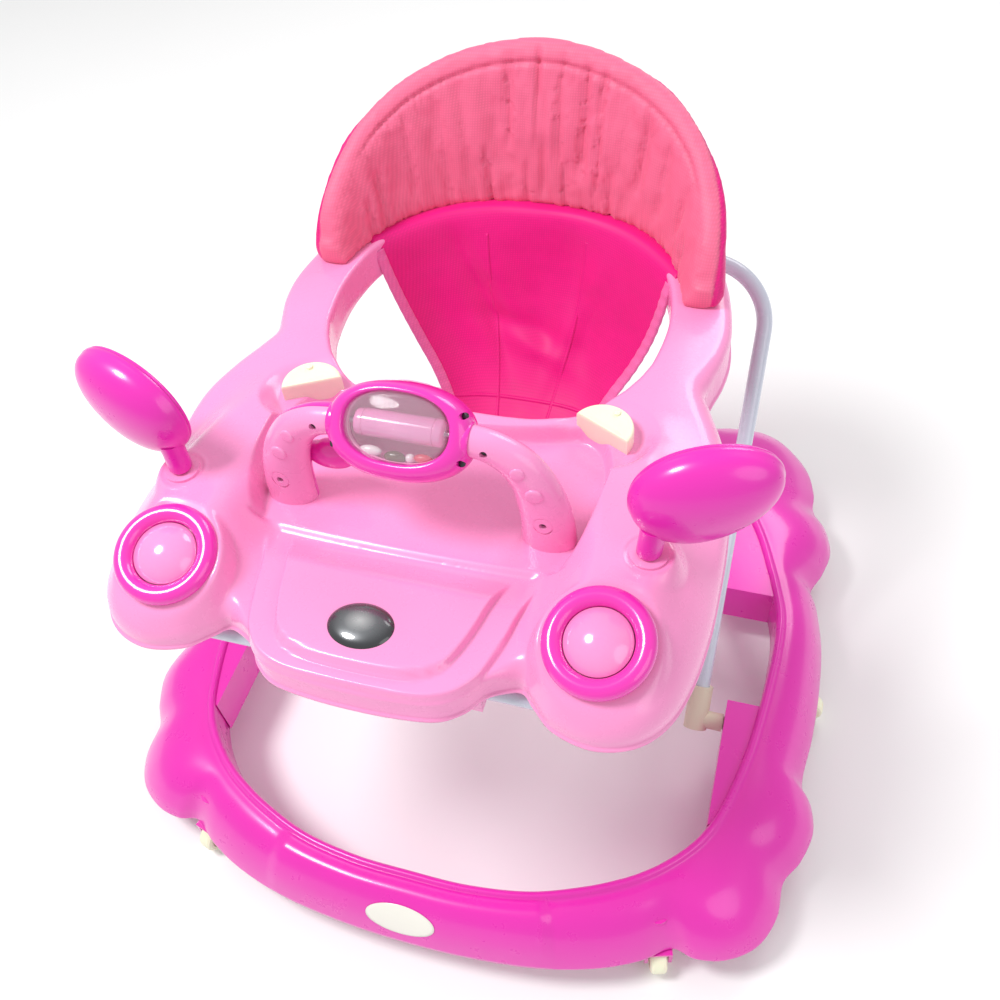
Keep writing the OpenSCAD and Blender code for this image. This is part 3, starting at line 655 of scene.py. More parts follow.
def spin(name, profile, n=48):
    """A turned piece round its own Z from (radius, z) points; a radius of 0 closes an end."""
    a = np.linspace(0, 2 * math.pi, n, endpoint=False)
    rings = [np.column_stack([max(r, 0.01) * np.cos(a), max(r, 0.01) * np.sin(a), np.full(n, z)])
             for r, z in profile]
    return outward(loft(name, rings, caps=True))


def place(obj, origin, axes):
    """Moves mesh points from local x, y, z to origin + axes (rows), in mm."""
    co = np.array([v.co for v in obj.data.vertices], float) / MM
    co = (np.asarray(origin, float) + co @ np.asarray(axes, float)) * MM
    obj.data.vertices.foreach_set("co", co.ravel())
    obj.data.update()
    return outward(obj)


def finish_piece(obj, mat, body, slot_name, *nodes):
    paint(obj, mat)
    if nodes:
        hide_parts(*nodes)
    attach(obj, body)
    return obj


def about_x(degrees):
    c, s = math.cos(math.radians(degrees)), math.sin(math.radians(degrees))
    return np.array([(1, 0, 0), (0, c, s), (0, -s, c)])


def unit3(v):
    v = np.asarray(v, float)
    return v / np.linalg.norm(v)


# ------------------------------------------------------------------ steering toy
ARM_LINE = np.array([
    (99, 403, 20, 13), (98, 423, 19.2, 13), (95, 442.5, 18, 12.6), (89, 460.5, 16, 12),
    (79, 476, 14, 11.5), (65, 486, 12, 11), (52, 489.7, 11, 11), (45, 490.2, 11, 11)], float)
POD_AT = (0, -136, 488)
POD_AXES = about_x(46)


def arm_y(z):
    return -139.5 + 3.5 * (z - 403) / 87


def arm_skin(name, side, first, last, off):
    p = smooth_line(ARM_LINE, 9)
    d = np.gradient(p[:, :2], axis=0)
    d[0] = (0, 1)
    d /= np.linalg.norm(d, axis=1, keepdims=True)
    whole = last - first > 359
    a = np.radians(np.linspace(first, last, 56 if whole else 36, endpoint=not whole))
    rings = []
    for q, (dx, dz) in zip(p, d):
        rings.append(np.column_stack([side * (q[0] + dz * q[2] * np.cos(a)),
                                      arm_y(q[1]) + q[3] * np.sin(a) + off,
                                      q[1] - dx * q[2] * np.cos(a)]))
    return outward(loft(name, rings, caps=True))


def arm_face(x, z):
    """y of the arm's front surface at x, z, and its outward direction there."""
    p = smooth_line(ARM_LINE, 9)
    k = int(np.argmin(np.hypot(p[:, 0] - x, p[:, 1] - z)))
    d = unit3((*(p[min(k + 1, len(p) - 1), :2] - p[max(k - 1, 0), :2]), 0))
    off = (x - p[k, 0]) * d[1] - (z - p[k, 1]) * d[0]
    share = max(-0.95, min(0.95, off / p[k, 2]))
    b = p[k, 3]
    y = arm_y(z) - b * math.sqrt(1 - share * share)
    n = unit3((share / p[k, 2] * d[1], -math.sqrt(1 - share * share) / b, -share / p[k, 2] * d[0]))
    return y, n


def arm_axes(n, side):
    n = np.array([n[0] * side, n[1], n[2]])
    u = unit3(np.cross((0, 0, 1), n))
    return np.array([u, np.cross(n, u), n])


def build_steering():
    marks = {"small": (82, 477), "large": (92.5, 459), "ring": (98, 431), "hole": (60, 490)}
    for side, tag in ((1, "right"), (-1, "left")):
        front = arm_skin(f"arm_{tag}", side, *((0, 360, 0) if side > 0 else (180, 360, -0.15)))
        tools = []
        for key, r in (("hole", 2.7), ("ring", 2.7)):
            x, z = marks[key]
            y, n = arm_face(x, z)
            tool = spin("tool", [(r, -5), (r, 5)], 24)
            tools.append(place(tool, (side * x, y, z), arm_axes(n, side)))
        x, z = marks["ring"]
        y, n = arm_face(x, z)
        t = np.linspace(0, 2 * math.pi, 48, endpoint=False)
        groove = loft("groove", [np.column_stack([r * np.cos(t), r * 1.12 * np.sin(t), np.full(48, h)])
                                 for r, h in ((6.2, -0.9), (7.3, -0.9), (7.3, 5), (6.2, 5))], along=True)
        tools.append(place(groove, (side * x, y, z), arm_axes(n, side)))
        cut(front, tools)
        sharp_by_angle(front, 40)
        finish_piece(front, "pink", "tray", "pink_plastic", "steering_arms")
        for key, r, h in (("small", 4.8, 0.9), ("large", 5.7, 1.1)):
            x, z = marks[key]
            y, n = arm_face(x, z)
            disc = spin(f"disc_{key}_{tag}", [(0, -3), (r + 0.5, -3), (r + 0.35, 0.1), (r, 0.55 * h),
                                              (r - 0.6, 0.9 * h), (r - 1.6, h), (0, h + 0.25)], 40)
            finish_piece(place(disc, (side * x, y, z), arm_axes(n, side)), "pink", "tray", "pink_plastic")
        for key in ("hole", "ring"):
            x, z = marks[key]
            y, n = arm_face(x, z)
            head = spin(f"screw_{key}_{tag}", [(0, -5.5), (2.62, -5.5), (2.62, -3.4), (2.1, -2.9),
                                               (0.9, -2.8), (0.7, -3.6), (0, -3.6)], 24)
            finish_piece(place(head, (side * x, y, z), arm_axes(n, side)), "screw", "tray", "dark_screw",
                         "steering_screws")
    back = arm_skin("arm_backing", -1, 0, 180, 0.15)
    sharp_by_angle(back, 50)
    finish_piece(back, "magenta", "tray", "magenta_plastic", "steering_back")
    # two-lobed leaf behind the left arm
    a = np.linspace(0, 2 * math.pi, 64, endpoint=False)
    rings = []
    for k in range(1, 24):
        v = -math.cos(math.pi * k / 24)
        s = math.sqrt(1 - v * v)
        r = 1 - 0.16 * np.exp(-((a - 2.2) / 0.35) ** 2) + 0.05 * np.cos(2 * a)
        rings.append(np.column_stack([-66 + 19 * s * r * np.cos(a), np.full(64, -127 + 8.5 * v),
                                      441 + 14.5 * s * r * np.sin(a)]))
    finish_piece(outward(loft("lobe", rings, caps=True)), "magenta_rim", "tray", "magenta_plastic")


def pod_point(x, y, z):
    return np.column_stack([np.atleast_1d(v) for v in np.broadcast_arrays(x, y, z)])


def rounded(a, rx, ry, power):
    c, s = np.cos(a), np.sin(a)
    return rx * np.sign(c) * np.abs(c) ** (2 / power), ry * np.sign(s) * np.abs(s) ** (2 / power)


def build_pod():
    a = np.linspace(0, 2 * math.pi, 120, endpoint=False)
    ox, oy = rounded(a, 52, 33.5, 2.25)
    wx, wy = rounded(a, 37, 23.5, 2.35)
    wy = wy + 3
    prof = [(-0.06, 2), (-0.02, 8), (0.0, 13.6), (0.04, 15.2), (0.11, 16.0), (0.2, 16.2), (0.38, 15.6),
            (0.56, 14.3), (0.72, 12.4), (0.84, 10.0), (0.92, 7.2), (0.97, 4.0), (1.0, 0.6), (1.0, -0.2),
            (0.992, -0.7), (0.992, -1.2), (1.0, -1.7), (0.985, -5.0), (0.94, -9.2), (0.86, -13.0),
            (0.72, -16.4), (0.5, -19.2), (0.2, -21.0), (-0.3, -21.8), (-1.0, -22.0)]
    rings = [pod_point(wx + (ox - wx) * u, wy + (oy - wy) * u, z) for u, z in prof]
    rings = [pod_point(wx * k, wy * k, z) for k, z in (
        (0.02, -17.5), (0.5, -17.3), (0.8, -16.0), (0.95, -12.0), (1.0, -6.0))] + rings
    rings.append(pod_point(ox * 0.02, oy * 0.02, -22.3))
    pod = place(loft("pod", rings, caps=True), POD_AT, POD_AXES)
    # screw holes in the rim
    tools = []
    for x, y, z in ((44, 17, 9), (46, -14, 9), (-45, -15, 9)):
        tool = spin("tool", [(2.3, -4), (2.3, 12)], 24)
        tools.append(place(tool, np.asarray(POD_AT) + np.array((x, y, z)) @ POD_AXES, POD_AXES))
    cut(pod, tools)
    sharp_by_angle(pod, 50)
    finish_piece(pod, "magenta_rim", "tray", "magenta_plastic", "pod_frame")
    for k, (x, y, z) in enumerate(((44, 17, 7), (46, -14, 7), (-45, -15, 7))):
        head = spin(f"pod_screw_{k}", [(0, -2), (2.25, -2), (2.25, 0), (1.6, 0.4), (0, 0.4)], 24)
        place(head, np.asarray(POD_AT) + np.array((x, y, z)) @ POD_AXES, POD_AXES)
        finish_piece(head, "screw", "tray", "dark_screw")
    # collars where the arms go in
    for side in (-1, 1):
        t = np.linspace(0, 2 * math.pi, 56, endpoint=False)
        rings = [np.column_stack([np.full(56, side * x), -136.3 + (r + 0.3) * np.sin(t), 490 + r * np.cos(t)])
                 for x, r in ((38, 11.6), (42, 12.2), (46, 12.6), (48.4, 12.5), (49.4, 12.0),
                              (49.7, 11.5), (49.2, 11.0))]
        finish_piece(outward(loft(f"pod_collar_{side + 1}", rings, caps=True)), "magenta_rim", "tray",
                     "magenta_plastic")
    # pale tub behind the roller
    tub = [pod_point(wx * u, wy * u, z) for u, z in
           ((0.985, 8.0), (0.985, 2.0), (0.97, -5.0), (0.9, -11.5), (0.72, -14.6), (0.3, -15.4),
            (0.02, -15.5))]
    liner = place(loft("pod_liner", tub, caps=False), POD_AT, POD_AXES)
    add_mod(liner, "SOLIDIFY", thickness=0.0006, offset=0)
    finish_piece(liner, "pink", "tray", "pink_plastic")
    # clear domed window
    dome = []
    for u in np.linspace(1.0, 0.02, 14):
        dome.append(pod_point(wx * u * 0.995, 3 + (wy - 3) * u * 0.995, 13.8 + 6.2 * (1 - u ** 2.2)))
    window = place(loft("window", dome, caps=True), POD_AT, POD_AXES)
    add_mod(window, "SOLIDIFY", thickness=0.0009, offset=-1)
    finish_piece(window, "clear", "tray", "clear_plastic", "pod_window")
    # roller: a turned barrel with a groove at each end
    t = np.linspace(0, 2 * math.pi, 64, endpoint=False)
    end = [(2.2, 31), (7.6, 31), (8.8, 30.4), (9.4, 29), (9.5, 26), (9.5, 25.4), (9.0, 25), (9.0, 24.6),
           (9.5, 24.2)]
    prof = [(r, -x) for r, x in end] + end[::-1]
    rings = [pod_point(np.full(64, x), 3 + r * np.cos(t), 3 + r * np.sin(t)) for r, x in prof]
    roller = place(loft("roller_barrel", rings, along=True), POD_AT, POD_AXES)
    sharp_by_angle(roller, 50)
    finish_piece(roller, "dome", "roller", "pink_plastic", "pod_roller")
    # loose rattle shapes below the roller
    for k, (x, y, z, sx, sy, mat) in enumerate((
            (-19, -15.5, 3.5, 8, 3.6, "white"), (-1, -17.5, 4.5, 7.5, 4.4, "olive"),
            (9.5, -16.5, 4, 3.2, 3.2, "white"), (18.5, -15.5, 4, 6.5, 3.2, "red"))):
        bead = spin(f"bead_{k}", [(0, -3.2), (1.6, -3.0), (2.7, -1.9), (3.2, -0.6), (3.2, 0.6), (2.7, 1.9),
                                  (1.6, 3.0), (0, 3.2)], 32)
        axes = POD_AXES * np.array([[sx / 3.2], [sy / 3.2], [1.0]])
        place(bead, np.asarray(POD_AT) + np.array((x, y, z)) @ POD_AXES, axes)
        finish_piece(bead, mat, "tray", "beads", "rattle_beads")


# ------------------------------------------------------------------ latch knobs
def build_knobs():
    """A half disc with a rounded rim, a dished thumb mark and a small raised dot at the back."""
    half = [(24.0 * math.cos(t), 24.0 * math.sin(t)) for t in np.linspace(0, math.pi, 40)]
    front = [(x, 0.0) for x in np.linspace(-23.4, 23.4, 30)]
    edge = np.array(half + front)
    mid = np.array((0.0, 9.5))
    for side, tag in ((1, "right"), (-1, "left")):
        c, q = math.cos(math.radians(-27)), math.sin(math.radians(-27))
        axes = np.array([(c, q, 0), (-q, c, 0), (0, 0, 1)])
        rings = []
        for k, z in ((0.98, 408.5), (1.0, 409.5), (1.0, 426.4), (0.992, 427.8), (0.97, 428.8), (0.93, 429.4),
                     (0.86, 429.6), (0.74, 429.3), (0.6, 428.6), (0.42, 428.1), (0.2, 428.0), (0.02, 428.0)):
            pts = mid + (edge - mid) * k
            rings.append(np.column_stack([pts, np.full(len(pts), z)]))
        obj = place(loft(f"knob_{tag}", rings, caps=True), (116.5, -51, 0), axes)
        dot_profile = [(0, 427), (2.6, 427), (2.6, 430.0), (1.9, 430.6), (0, 430.7)]
        dot = place(spin(f"knob_dot_{tag}", dot_profile, 28),
                    np.array((116.5, -51, 0)) + np.array((0, 18.5, 0)) @ axes, axes)
        for piece in (obj, dot):
            if side < 0:
                flip_x(piece)
            sharp_by_angle(piece, 40)
        finish_piece(obj, "cream", f"knob_{tag}", "cream_plastic", f"latch_knob_{tag}")
        finish_piece(dot, "cream", f"knob_{tag}", "cream_plastic")


# ------------------------------------------------------------------ mirrors
MIRROR_AT = np.array((201, -139, 484.7))
MIRROR_AXES = np.array([(0.8965, 0.2812, 0.3425), (-0.3340, -0.0793, 0.9392), (0.2913, -0.9564, 0.0228)])


def egg_ring(size, z, n=96):
    a = np.linspace(0, 2 * math.pi, n, endpoint=False)
    return pod_point(size * 49 * np.cos(a), size * 37 * np.sin(a) * (1 - 0.11 * np.cos(a)), z)


def flip_x(obj):
    co = np.array([v.co for v in obj.data.vertices], float) * np.array((-1, 1, 1))
    obj.data.vertices.foreach_set("co", co.ravel())
    obj.data.update()
    return outward(obj)


def build_mirrors():
    for side, tag in ((1, "right"), (-1, "left")):
        lev = [(0.93, -0.2), (0.985, 0.0), (1.0, 0.7), (1.002, 3.4), (0.994, 4.3), (0.992, 4.9)]
        lev += [(0.985 * math.cos(t), 5.2 + 21.8 * math.sin(t) ** 0.96)
                for t in np.radians(np.arange(3, 90, 3.6))]
        rings = [egg_ring(s, z) for s, z in lev]
        head = place(loft(f"mirror_head_{tag}", rings, caps=True), MIRROR_AT, MIRROR_AXES)
        back = place(loft(f"mirror_rear_{tag}", [egg_ring(s, z) for s, z in (
            (0.98, -0.3), (0.985, -1.0), (0.975, -2.4), (0.94, -3.2), (0.87, -3.3), (0.845, -2.9),
            (0.84, -1.9), (0.5, -1.9))], caps=True), MIRROR_AT, MIRROR_AXES)
        glass = place(loft(f"mirror_pane_{tag}", [egg_ring(s, z) for s, z in (
            (0.832, -2.0), (0.834, -2.5), (0.826, -2.8), (0.4, -3.1), (0.02, -3.2))], caps=True),
            MIRROR_AT, MIRROR_AXES)
        mark = place(loft(f"gate_mark_{tag}", [pod_point(
            2.2 * np.cos(t) + 0.35 * math.cos(q) * np.cos(t),
            2.2 * np.sin(t) + 0.35 * math.cos(q) * np.sin(t),
            26.7 + 0.35 * math.sin(q)) for t in [np.linspace(0, 2 * math.pi, 32, endpoint=False)]
            for q in np.linspace(0, 2 * math.pi, 8, endpoint=False)], along=True), MIRROR_AT, MIRROR_AXES)
        p0, p1 = np.array((172, -160, 437.0)), np.array((174, -157, 462.0))
        t = np.linspace(0, 2 * math.pi, 48, endpoint=False)
        stalk = loft(f"mirror_stalk_{tag}", [np.column_stack([
            p0[0] + (p1[0] - p0[0]) * k + r * np.cos(t), p0[1] + (p1[1] - p0[1]) * k + r * np.sin(t),
            np.full(48, p0[2] + (p1[2] - p0[2]) * k)]) for k, r in (
                (0.0, 7.2), (0.02, 8.1), (0.06, 8.6), (0.3, 8.6), (0.6, 8.5), (0.8, 8.7),
                (1.0, 9.4))], caps=True)
        for obj, mat, nodes in ((head, "magenta", [f"mirror_shell_{tag}"]),
                                (back, "magenta", [f"mirror_back_{tag}"]),
                                (glass, "mirror", [f"mirror_glass_{tag}"]), (mark, "magenta", []),
                                (stalk, "magenta", [f"mirror_shell_{tag}"])):
            if side < 0:
                flip_x(obj)
            else:
                outward(obj)
            sharp_by_angle(obj, 45)
            kind = "mirror_foil" if mat == "mirror" else "magenta_plastic"
            finish_piece(obj, mat, f"mirror_{tag}", kind, *nodes)


# ------------------------------------------------------------------ badge and sticker
def build_badge():
    n = 96
    t = np.linspace(0, 2 * math.pi, n, endpoint=False)
    at = np.array((-3.0, -243.5, 410.6))
    rx, ry = 24.0, 18.2
    rings = [at + pod_point(rx * k * np.cos(t), ry * k * np.sin(t), z) for k, z in (
        (1.0, -1.5), (1.0, 0.3), (0.985, 1.3), (0.95, 2.4), (0.88, 3.7), (0.76, 5.0), (0.6, 6.0), (0.4, 6.7),
        (0.2, 7.0), (0.03, 7.1))]
    finish_piece(outward(loft("badge_dome", rings, caps=True)), "badge", "tray", "badge", "hood_badge")
    q = np.linspace(0, 2 * math.pi, 14, endpoint=False)
    lip = [at + pod_point((rx + 1.4 + 1.1 * math.cos(v)) * np.cos(t),
                          (ry + 1.4 + 1.1 * math.cos(v)) * np.sin(t),
                          0.1 + 0.9 * math.sin(v)) for v in q]
    finish_piece(outward(loft("badge_lip", lip, along=True)), "pink", "tray", "pink_plastic")


def drape(name, at, u, v, normal, grid, target, lift):
    """A patch of points laid on the target along -normal."""
    mesh_eval = target.evaluated_get(bpy.context.evaluated_depsgraph_get())
    inv = target.matrix_world.inverted()
    pts = []
    n = Vector(normal)
    for x, y in grid:
        p = (Vector(at) + Vector(u) * x + Vector(v) * y) * MM
        hit, loc, _, _ = mesh_eval.ray_cast(inv @ (p + n * 0.05), inv.to_3x3() @ (-n))
        q = target.matrix_world @ loc if hit else p
        pts.append(np.array(q + n * lift * MM) / MM)
    return pts


def build_sticker(base):
    n, m = 72, 9
    u, v, w = (1, 0, 0), (0, 0.515, 0.857), (0, -0.857, 0.515)
    at = (0, -325.4, 67.3)
    grid = [(0.0, 0.0)]
    for k in range(1, m + 1):
        for j in range(n):
            a = 2 * math.pi * j / n
            grid.append((32 * k / m * math.cos(a), 16.8 * k / m * math.sin(a)))
    pts = drape("sticker", at, u, v, w, grid, base, 0.35)
    faces = [(0, 1 + j, 1 + (j + 1) % n) for j in range(n)]
    for k in range(m - 1):
        for j in range(n):
            a, b = 1 + k * n + j, 1 + k * n + (j + 1) % n
            faces.append((a, a + n, b + n, b))
    obj = new_mesh("sticker", pts, faces)
    add_mod(obj, "SOLIDIFY", thickness=0.0003, offset=1)
    finish_piece(obj, "label", "base", "label", "label_sticker")


# ------------------------------------------------------------------ backrest
def back_path(n):
    p = smooth_line(mirrored_line(BACK_HALF), n)
    d = np.gradient(p, axis=0)
    d /= np.linalg.norm(d, axis=1, keepdims=True)
    w = np.column_stack([-d[:, 1], d[:, 0]])
    k = np.arange(len(p)) / (len(p) - 1)
    t = np.abs(2 * k - 1)
    h = PAD_H * (0.16 + 0.84 * (1 - t ** 1.7))
    s = np.concatenate([[0], np.cumsum(np.linalg.norm(np.diff(p, axis=0), axis=1))])
    return p, w, h, s - s[-1] / 2


def pad_coords(co):
    """Arc length, distance out from the middle line and share of the height for points in mm."""
    p, w, h, s = back_path(12)
    out = np.empty((len(co), 3))
    for i in range(0, len(co), 2000):
        c = co[i:i + 2000]
        d = (c[:, None, 0] - p[None, :, 0]) ** 2 + (c[:, None, 1] - p[None, :, 1]) ** 2
        k = d.argmin(1)
        rel = c[:, :2] - p[k]
        v1 = (c[:, 2] - RING_TOP) / h[k]
        out[i:i + 2000, 0] = s[k]
        out[i:i + 2000, 1] = (rel * w[k]).sum(1) - 16 * v1 * h[k] / PAD_H
        out[i:i + 2000, 2] = v1
    return out


# creases of the gathered front panel: arc place, width, depth, from and to share of the height, slant
GATHERS = [
    (-30, 3.0, 3.0, 0.42, 0.90, 5), (-2, 2.4, 3.4, 0.45, 0.93, -3), (3, 2.6, 2.4, 0.10, 0.70, 3),
    (18, 3.2, 2.6, 0.30, 0.92, 2), (40, 3.0, 2.8, 0.25, 0.90, 2), (57, 2.6, 3.2, 0.18, 0.90, -1),
    (104, 4.0, 2.2, 0.30, 0.86, -2), (132, 4.0, 1.8, 0.2, 0.8, -6), (-54, 3.2, 3.0, 0.0, 0.40, -6),
    (-12, 3.0, 2.6, 0.0, 0.30, 4), (22, 3.0, 2.4, 0.0, 0.34, -4), (74, 3.4, 2.4, 0.0, 0.36, 5),
    (-92, 4.6, 1.5, 0.1, 0.75, -5), (-128, 4.0, 1.6, 0.2, 0.8, 6), (-168, 4.0, 2.6, 0.05, 0.6, 12),
    (-186, 3.6, 2.4, 0.0, 0.5, 10), (168, 4.0, 2.4, 0.05, 0.6, -10), (188, 3.6, 2.2, 0.0, 0.5, -10),
    (-72, 5.0, 1.2, 0.2, 0.85, 0), (82, 5.0, 1.4, 0.3, 0.9, 0)]


def gather_depth(s, v):
    d = np.zeros(len(s))
    for at, width, depth, lo, hi, slant in GATHERS:
        c = at + slant * (v - 0.5)
        run = ss(lo - 0.06, lo + 0.08, v) * (1 - ss(hi - 0.05, hi + 0.07, v))
        d += depth * run * (np.exp(-((s - c) / width) ** 2)
                            - 0.35 * np.exp(-((s - c - 2.6 * width) / (1.6 * width)) ** 2)
                            - 0.35 * np.exp(-((s - c + 2.6 * width) / (1.6 * width)) ** 2))
    return d


def build_pad():
    p, w, h, s = back_path(8)
    a = PAD_T / 2 - 1.5
    prof = [(0, 0, 0.6), (a - 3, 0, 0.8), (a - 0.6, 0.03, 1.4), (a + 0.6, 0.12, 0), (a + 1.4, 0.35, 0),
            (a + 0.8, 0.6, 0), (a - 1.6, 0.85, 0), (a * 0.55, 0.965, 0), (0.5, 1.0, 0), (-a * 0.5, 0.985, 0),
            (-a * 0.85, 0.935, 0), (-a * 0.98, 0.885, 0), (-a - 1.4, 0.8, 0), (-a - 3.4, 0.62, 0),
            (-a - 5.6, 0.42, 0), (-a - 7.6, 0.25, 0), (-a - 8.4, 0.12, 0.6), (-a - 7.8, 0.03, 1.8),
            (-a - 5.0, 0, 1.4), (-a, 0, 0.8)]
    prof = np.array(prof)
    prof = smooth_ring(prof, 3)
    rings = []
    for q, ww, hh in zip(p, w, h):
        rings.append(np.column_stack([
            q[0] + ww[0] * (prof[:, 0] + 16 * prof[:, 1] * hh / PAD_H),
            q[1] + ww[1] * (prof[:, 0] + 16 * prof[:, 1] * hh / PAD_H),
            RING_TOP + prof[:, 2] + prof[:, 1] * hh]))
    # rounded ends
    def cap(ring, along, sign):
        mid = ring.mean(0)
        outs = []
        for ang in (25, 50, 72):
            c, q = math.cos(math.radians(ang)), math.sin(math.radians(ang))
            outs.append(mid + (ring - mid) * np.array((c, c, 1)) * np.array((1, 1, 0.35 * c + 0.65))
                        + np.array((*along, 0)) * sign * 7 * q)
        for o in outs:
            o[:, 2] = np.maximum(o[:, 2], RING_TOP + 0.6)
        return outs
    d0 = (p[1] - p[0]) / np.linalg.norm(p[1] - p[0])
    d1 = (p[-1] - p[-2]) / np.linalg.norm(p[-1] - p[-2])
    rings = cap(rings[0], d0, -1)[::-1] + rings + cap(rings[-1], d1, 1)
    pad = outward(loft("backrest_cover", rings, caps=True))
    mod = add_mod(pad, "REMESH", mode="VOXEL", voxel_size=0.0042)
    mod.use_smooth_shade = True
    bake(pad)
    co = np.array([v.co for v in pad.data.vertices], float) / MM
    q = pad_coords(co)
    group = pad.vertex_groups.new(name="held")
    low = 1 - ss(2.5, 14.0, co[:, 2] - RING_TOP)
    seam = np.exp(-((q[:, 2] - 0.90) / 0.03) ** 2) * (q[:, 1] < 0)
    hold = np.clip(np.maximum(low, seam), 0, 1)
    for i, value in enumerate(hold):
        group.add([i], float(value), "REPLACE")
    mod = pad.modifiers.new("cloth", "CLOTH")
    st = mod.settings
    st.quality = 6
    st.mass = 0.2
    st.tension_stiffness = st.compression_stiffness = 12
    st.shear_stiffness = 6
    st.bending_stiffness = 3.0
    st.use_pressure = True
    st.uniform_pressure_force = 3.0
    st.shrink_min = -0.006
    st.vertex_group_mass = "held"
    st.pin_stiffness = 1.0
    st.effector_weights.gravity = 0
    mod.collision_settings.use_collision = False
    mod.point_cache.frame_start, mod.point_cache.frame_end = 1, 20
    for f in range(1, 21):
        scene.frame_set(f)
    bake(pad)
    scene.frame_set(1)
    new = np.array([v.co for v in pad.data.vertices], float) / MM
    move = new - co
    size = np.linalg.norm(move, axis=1, keepdims=True)
    new = co + move * np.minimum(1, 7.0 / np.maximum(size, 1e-9))
    pad.data.vertices.foreach_set("co", (new * MM).ravel())
    pad.vertex_groups.clear()
    pad.data.shade_smooth()
    add_mod(pad, "SUBSURF", levels=1, render_levels=1)
    bake(pad)
    co = np.array([v.co for v in pad.data.vertices], float) / MM
    no = np.array([v.normal for v in pad.data.vertices], float)
    q = pad_coords(co)
    inner = ss(2, -3, q[:, 1])
    crease = gather_depth(q[:, 0], q[:, 2]) * inner
    # stitched channel below the rolled top edge, and piping line at the back of it
    limit = ss(190, 150, np.abs(q[:, 0]))
    channel = 2.4 * np.exp(-((q[:, 2] - 0.895) / 0.016) ** 2) * inner * limit
    near_seam = np.exp(-((q[:, 2] - 0.86) / 0.05) ** 2)
    pucker = 0.5 * np.sin(q[:, 0] * 1.15 + 2 * np.sin(q[:, 0] * 0.13)) * near_seam * inner
    hem = 0.8 * np.sin(q[:, 0] * 0.62 + 1.7 * np.sin(q[:, 0] * 0.21)) * np.exp(-(q[:, 2] / 0.14) ** 2) * inner
    back = ss(3, 7, q[:, 1])
    ridge = 1.3 * np.exp(-((q[:, 1] - 5.0) / 1.5) ** 2) * ss(0.5, 0.9, q[:, 2])
    rear = 1.2 * np.sin(q[:, 0] * 0.07 + 1.0) * np.sin(q[:, 2] * 5.0) * back
    co = co - no * (crease + channel + pucker + hem + ridge + rear)[:, None]
    co[:, 2] = np.maximum(co[:, 2], RING_TOP + 0.4)
    pad.data.vertices.foreach_set("co", (co * MM).ravel())
    pad.data.update()
    mask = pad.data.attributes.new("rear", "FLOAT", "POINT")
    mask.data.foreach_set("value", ss(3.6, 4.8, pad_coords(co)[:, 1]).astype(np.float32))
    paint(pad, "pad")
    pad.data.shade_smooth()
    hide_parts("backrest_pad")
    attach(pad, "tray")
    return pad


# ------------------------------------------------------------------ seat
def seat_frame(n):
    p = smooth_line(SEAT_LINE, n)
    d = np.gradient(np.column_stack([p[:, 0], -SEAT_DEPTH * p[:, 1]]), axis=0)
    d /= np.linalg.norm(d, axis=1, keepdims=True)
    w = np.column_stack([-d[:, 1], d[:, 0]])
    length = np.concatenate([[0], np.cumsum(np.linalg.norm(np.diff(
        np.column_stack([p[:, 0], SEAT_DEPTH * p[:, 1]]), axis=0), axis=1))])
    return p, w, length


def seat_surface(p, w, u, off, v):
    """A sling point: u is the share of the half width, v the share of the length, off in mm."""
    lean = 1 - np.abs(u) ** 3
    fold = (3.2 * np.sin(5.2 * u + 0.6) * np.exp(-((v - 0.13) / 0.09) ** 2)
            + 2.6 * np.exp(-((u + 0.55 - 1.1 * (v - 0.1)) / 0.09) ** 2) * ss(0.02, 0.1, v) * ss(0.42, 0.24, v)
            - 2.4 * np.exp(-((u - 0.50 + 1.0 * (v - 0.1)) / 0.11) ** 2)
            * ss(0.04, 0.12, v) * ss(0.45, 0.26, v)
            + 2.2 * np.exp(-((v - 0.27 - 0.05 * u) / 0.022) ** 2) * np.exp(-((u + 0.1) / 0.4) ** 2)
            - 1.8 * np.exp(-((v - 0.31 - 0.07 * u) / 0.02) ** 2) * np.exp(-((u - 0.15) / 0.35) ** 2)
            + 1.6 * np.sin(9 * u + 14 * v) * ss(0.5, 0.62, v) * (1 - ss(0.8, 0.95, v))
            + 1.2 * np.sin(15 * u - 22 * v) * np.exp(-((v - 0.22) / 0.12) ** 2)) * lean
    d = off + FOLD_SCALE * fold
    return np.array([u * p[2], p[0] - p[3] * np.abs(u) ** 2.6 + w[0] * d,
                     RING_TOP - SEAT_DEPTH * p[1] + w[1] * d - 4 * (1 - u * u) * ss(0, 0.12, v)])


def strip(name, rows, us, off, mat, thick):
    p, w, length = rows
    total = length[-1]
    rings = []
    for q, ww, ll in zip(p, w, length):
        rings.append([seat_surface(q, ww, u, off, ll / total) for u in us])
    obj = loft(name, rings, around=False)
    add_mod(obj, "SOLIDIFY", thickness=thick * MM, offset=0)
    return paint(obj, mat)


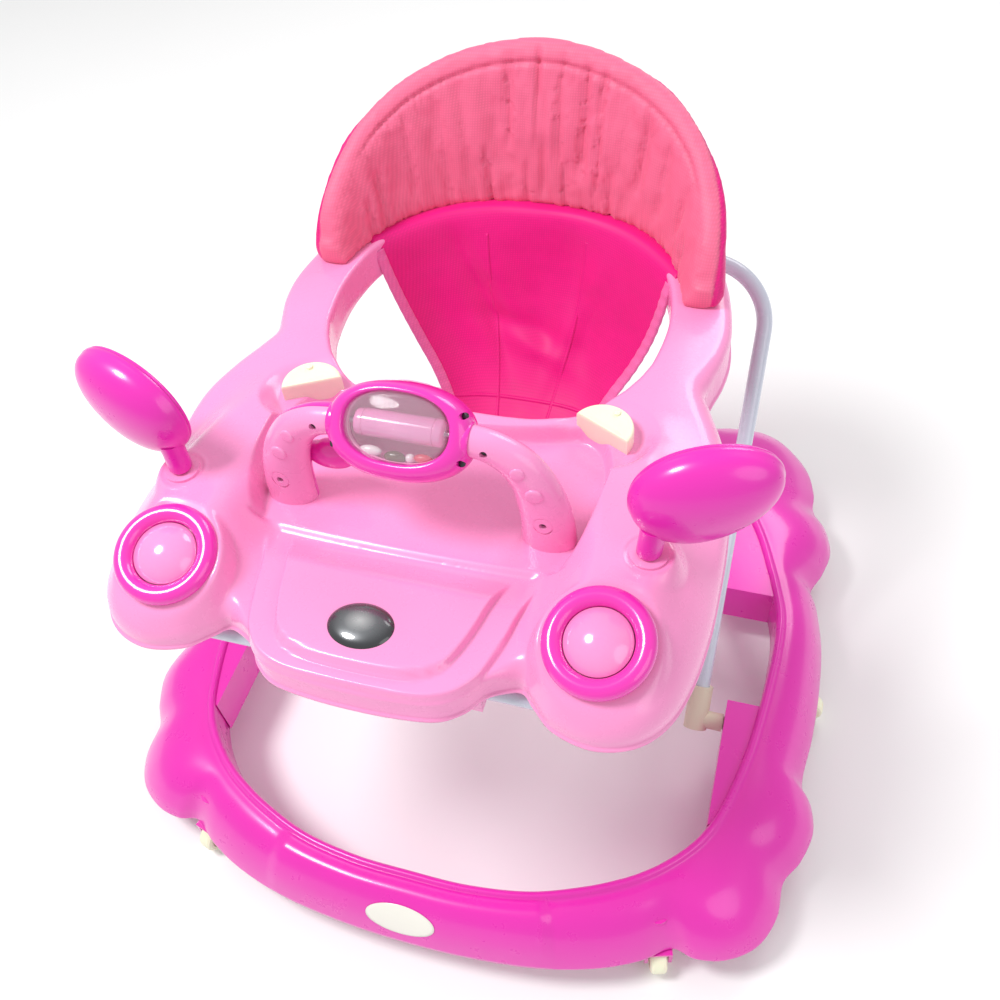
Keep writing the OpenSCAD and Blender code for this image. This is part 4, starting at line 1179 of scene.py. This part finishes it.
def build_seat():
    rows = seat_frame(16)
    seat = strip("sling", rows, np.linspace(-1, 1, 121), 0.0, "seat", 1.6)
    bake(seat)
    seat.data.shade_smooth()
    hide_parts("seat_sling")
    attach(seat, "tray")
    for side, tag in ((-1, "left"), (1, "right")):
        p, w, length_mm = rows
        total = length_mm[-1]
        ring = []
        for q, ww, ll in zip(p, w, length_mm):
            if q[1] < 0.03 and ll < total / 2:
                continue
            edge = seat_surface(q, ww, side * 1.0, 0, ll / total)
            inner = seat_surface(q, ww, side * (1 - 9.0 / q[2]), 0, ll / total)
            along = unit3(edge - inner)
            up = unit3(np.array((0, ww[0], ww[1])) - along * np.dot((0, ww[0], ww[1]), along))
            wave = 0.35 * math.sin(ll * 0.5)
            ring.append([edge + along * x + up * (z + wave) for x, z in (
                (-8.6, 1.15), (-8.0, 1.5), (-4.0, 1.7), (-0.2, 1.8), (1.1, 1.4), (1.7, 0.0), (1.1, -1.4),
                (-0.2, -1.8), (-4.0, -1.7), (-8.0, -1.5), (-8.6, -1.15))])
        obj = outward(loft(f"binding_{tag}", ring, caps=True))
        finish_piece(obj, "binding", "tray", "binding_fabric", "seat_binding")
    # raised seams with a row of stitches on each side
    for name, pts in seat_seams(rows):
        obj = seam_strip(name, pts)
        finish_piece(obj, "seat", "tray", "seat_fabric")
    return seat


def seat_seams(rows):
    p, w, length = rows
    total = length[-1]
    shares = length / total
    k = int(np.argmin(np.abs(shares - 0.42)))
    across = [seat_surface(p[k], w[k], u, 0, shares[k]) for u in np.linspace(-0.9, 0.9, 90)]
    ups = [np.array((0, w[k][0], w[k][1]))] * 90
    out = [("seam_across", (across, ups))]
    for u, tag in ((-0.36, "left"), (0.36, "right")):
        sel = [i for i in range(len(p)) if 0.07 < shares[i] < 0.93]
        out.append((f"seam_{tag}", ([seat_surface(p[i], w[i], u, 0, shares[i]) for i in sel],
                                    [np.array((0, w[i][0], w[i][1])) for i in sel])))
    return out


def seam_strip(name, line):
    pts, ups = line
    pts = np.array(pts)
    d = np.gradient(pts, axis=0)
    rings = []
    for i in range(len(pts)):
        t = unit3(d[i])
        up = unit3(ups[i] - t * np.dot(ups[i], t))
        side = np.cross(t, up)
        rings.append([pts[i] + side * x + up * z for x, z in (
            (-1.9, 0.6), (-1.5, 1.15), (-0.5, 1.35), (-0.15, 0.95), (0.15, 0.95), (0.5, 1.35), (1.5, 1.15),
            (1.9, 0.6), (1.9, -0.9), (-1.9, -0.9))])
    return outward(loft(name, rings, caps=True))


base = build_base()
build_tray()
build_steering()
build_pod()
build_knobs()
build_mirrors()
build_badge()
build_sticker(base)
build_pad()
build_seat()

place_camera()
set_stage()
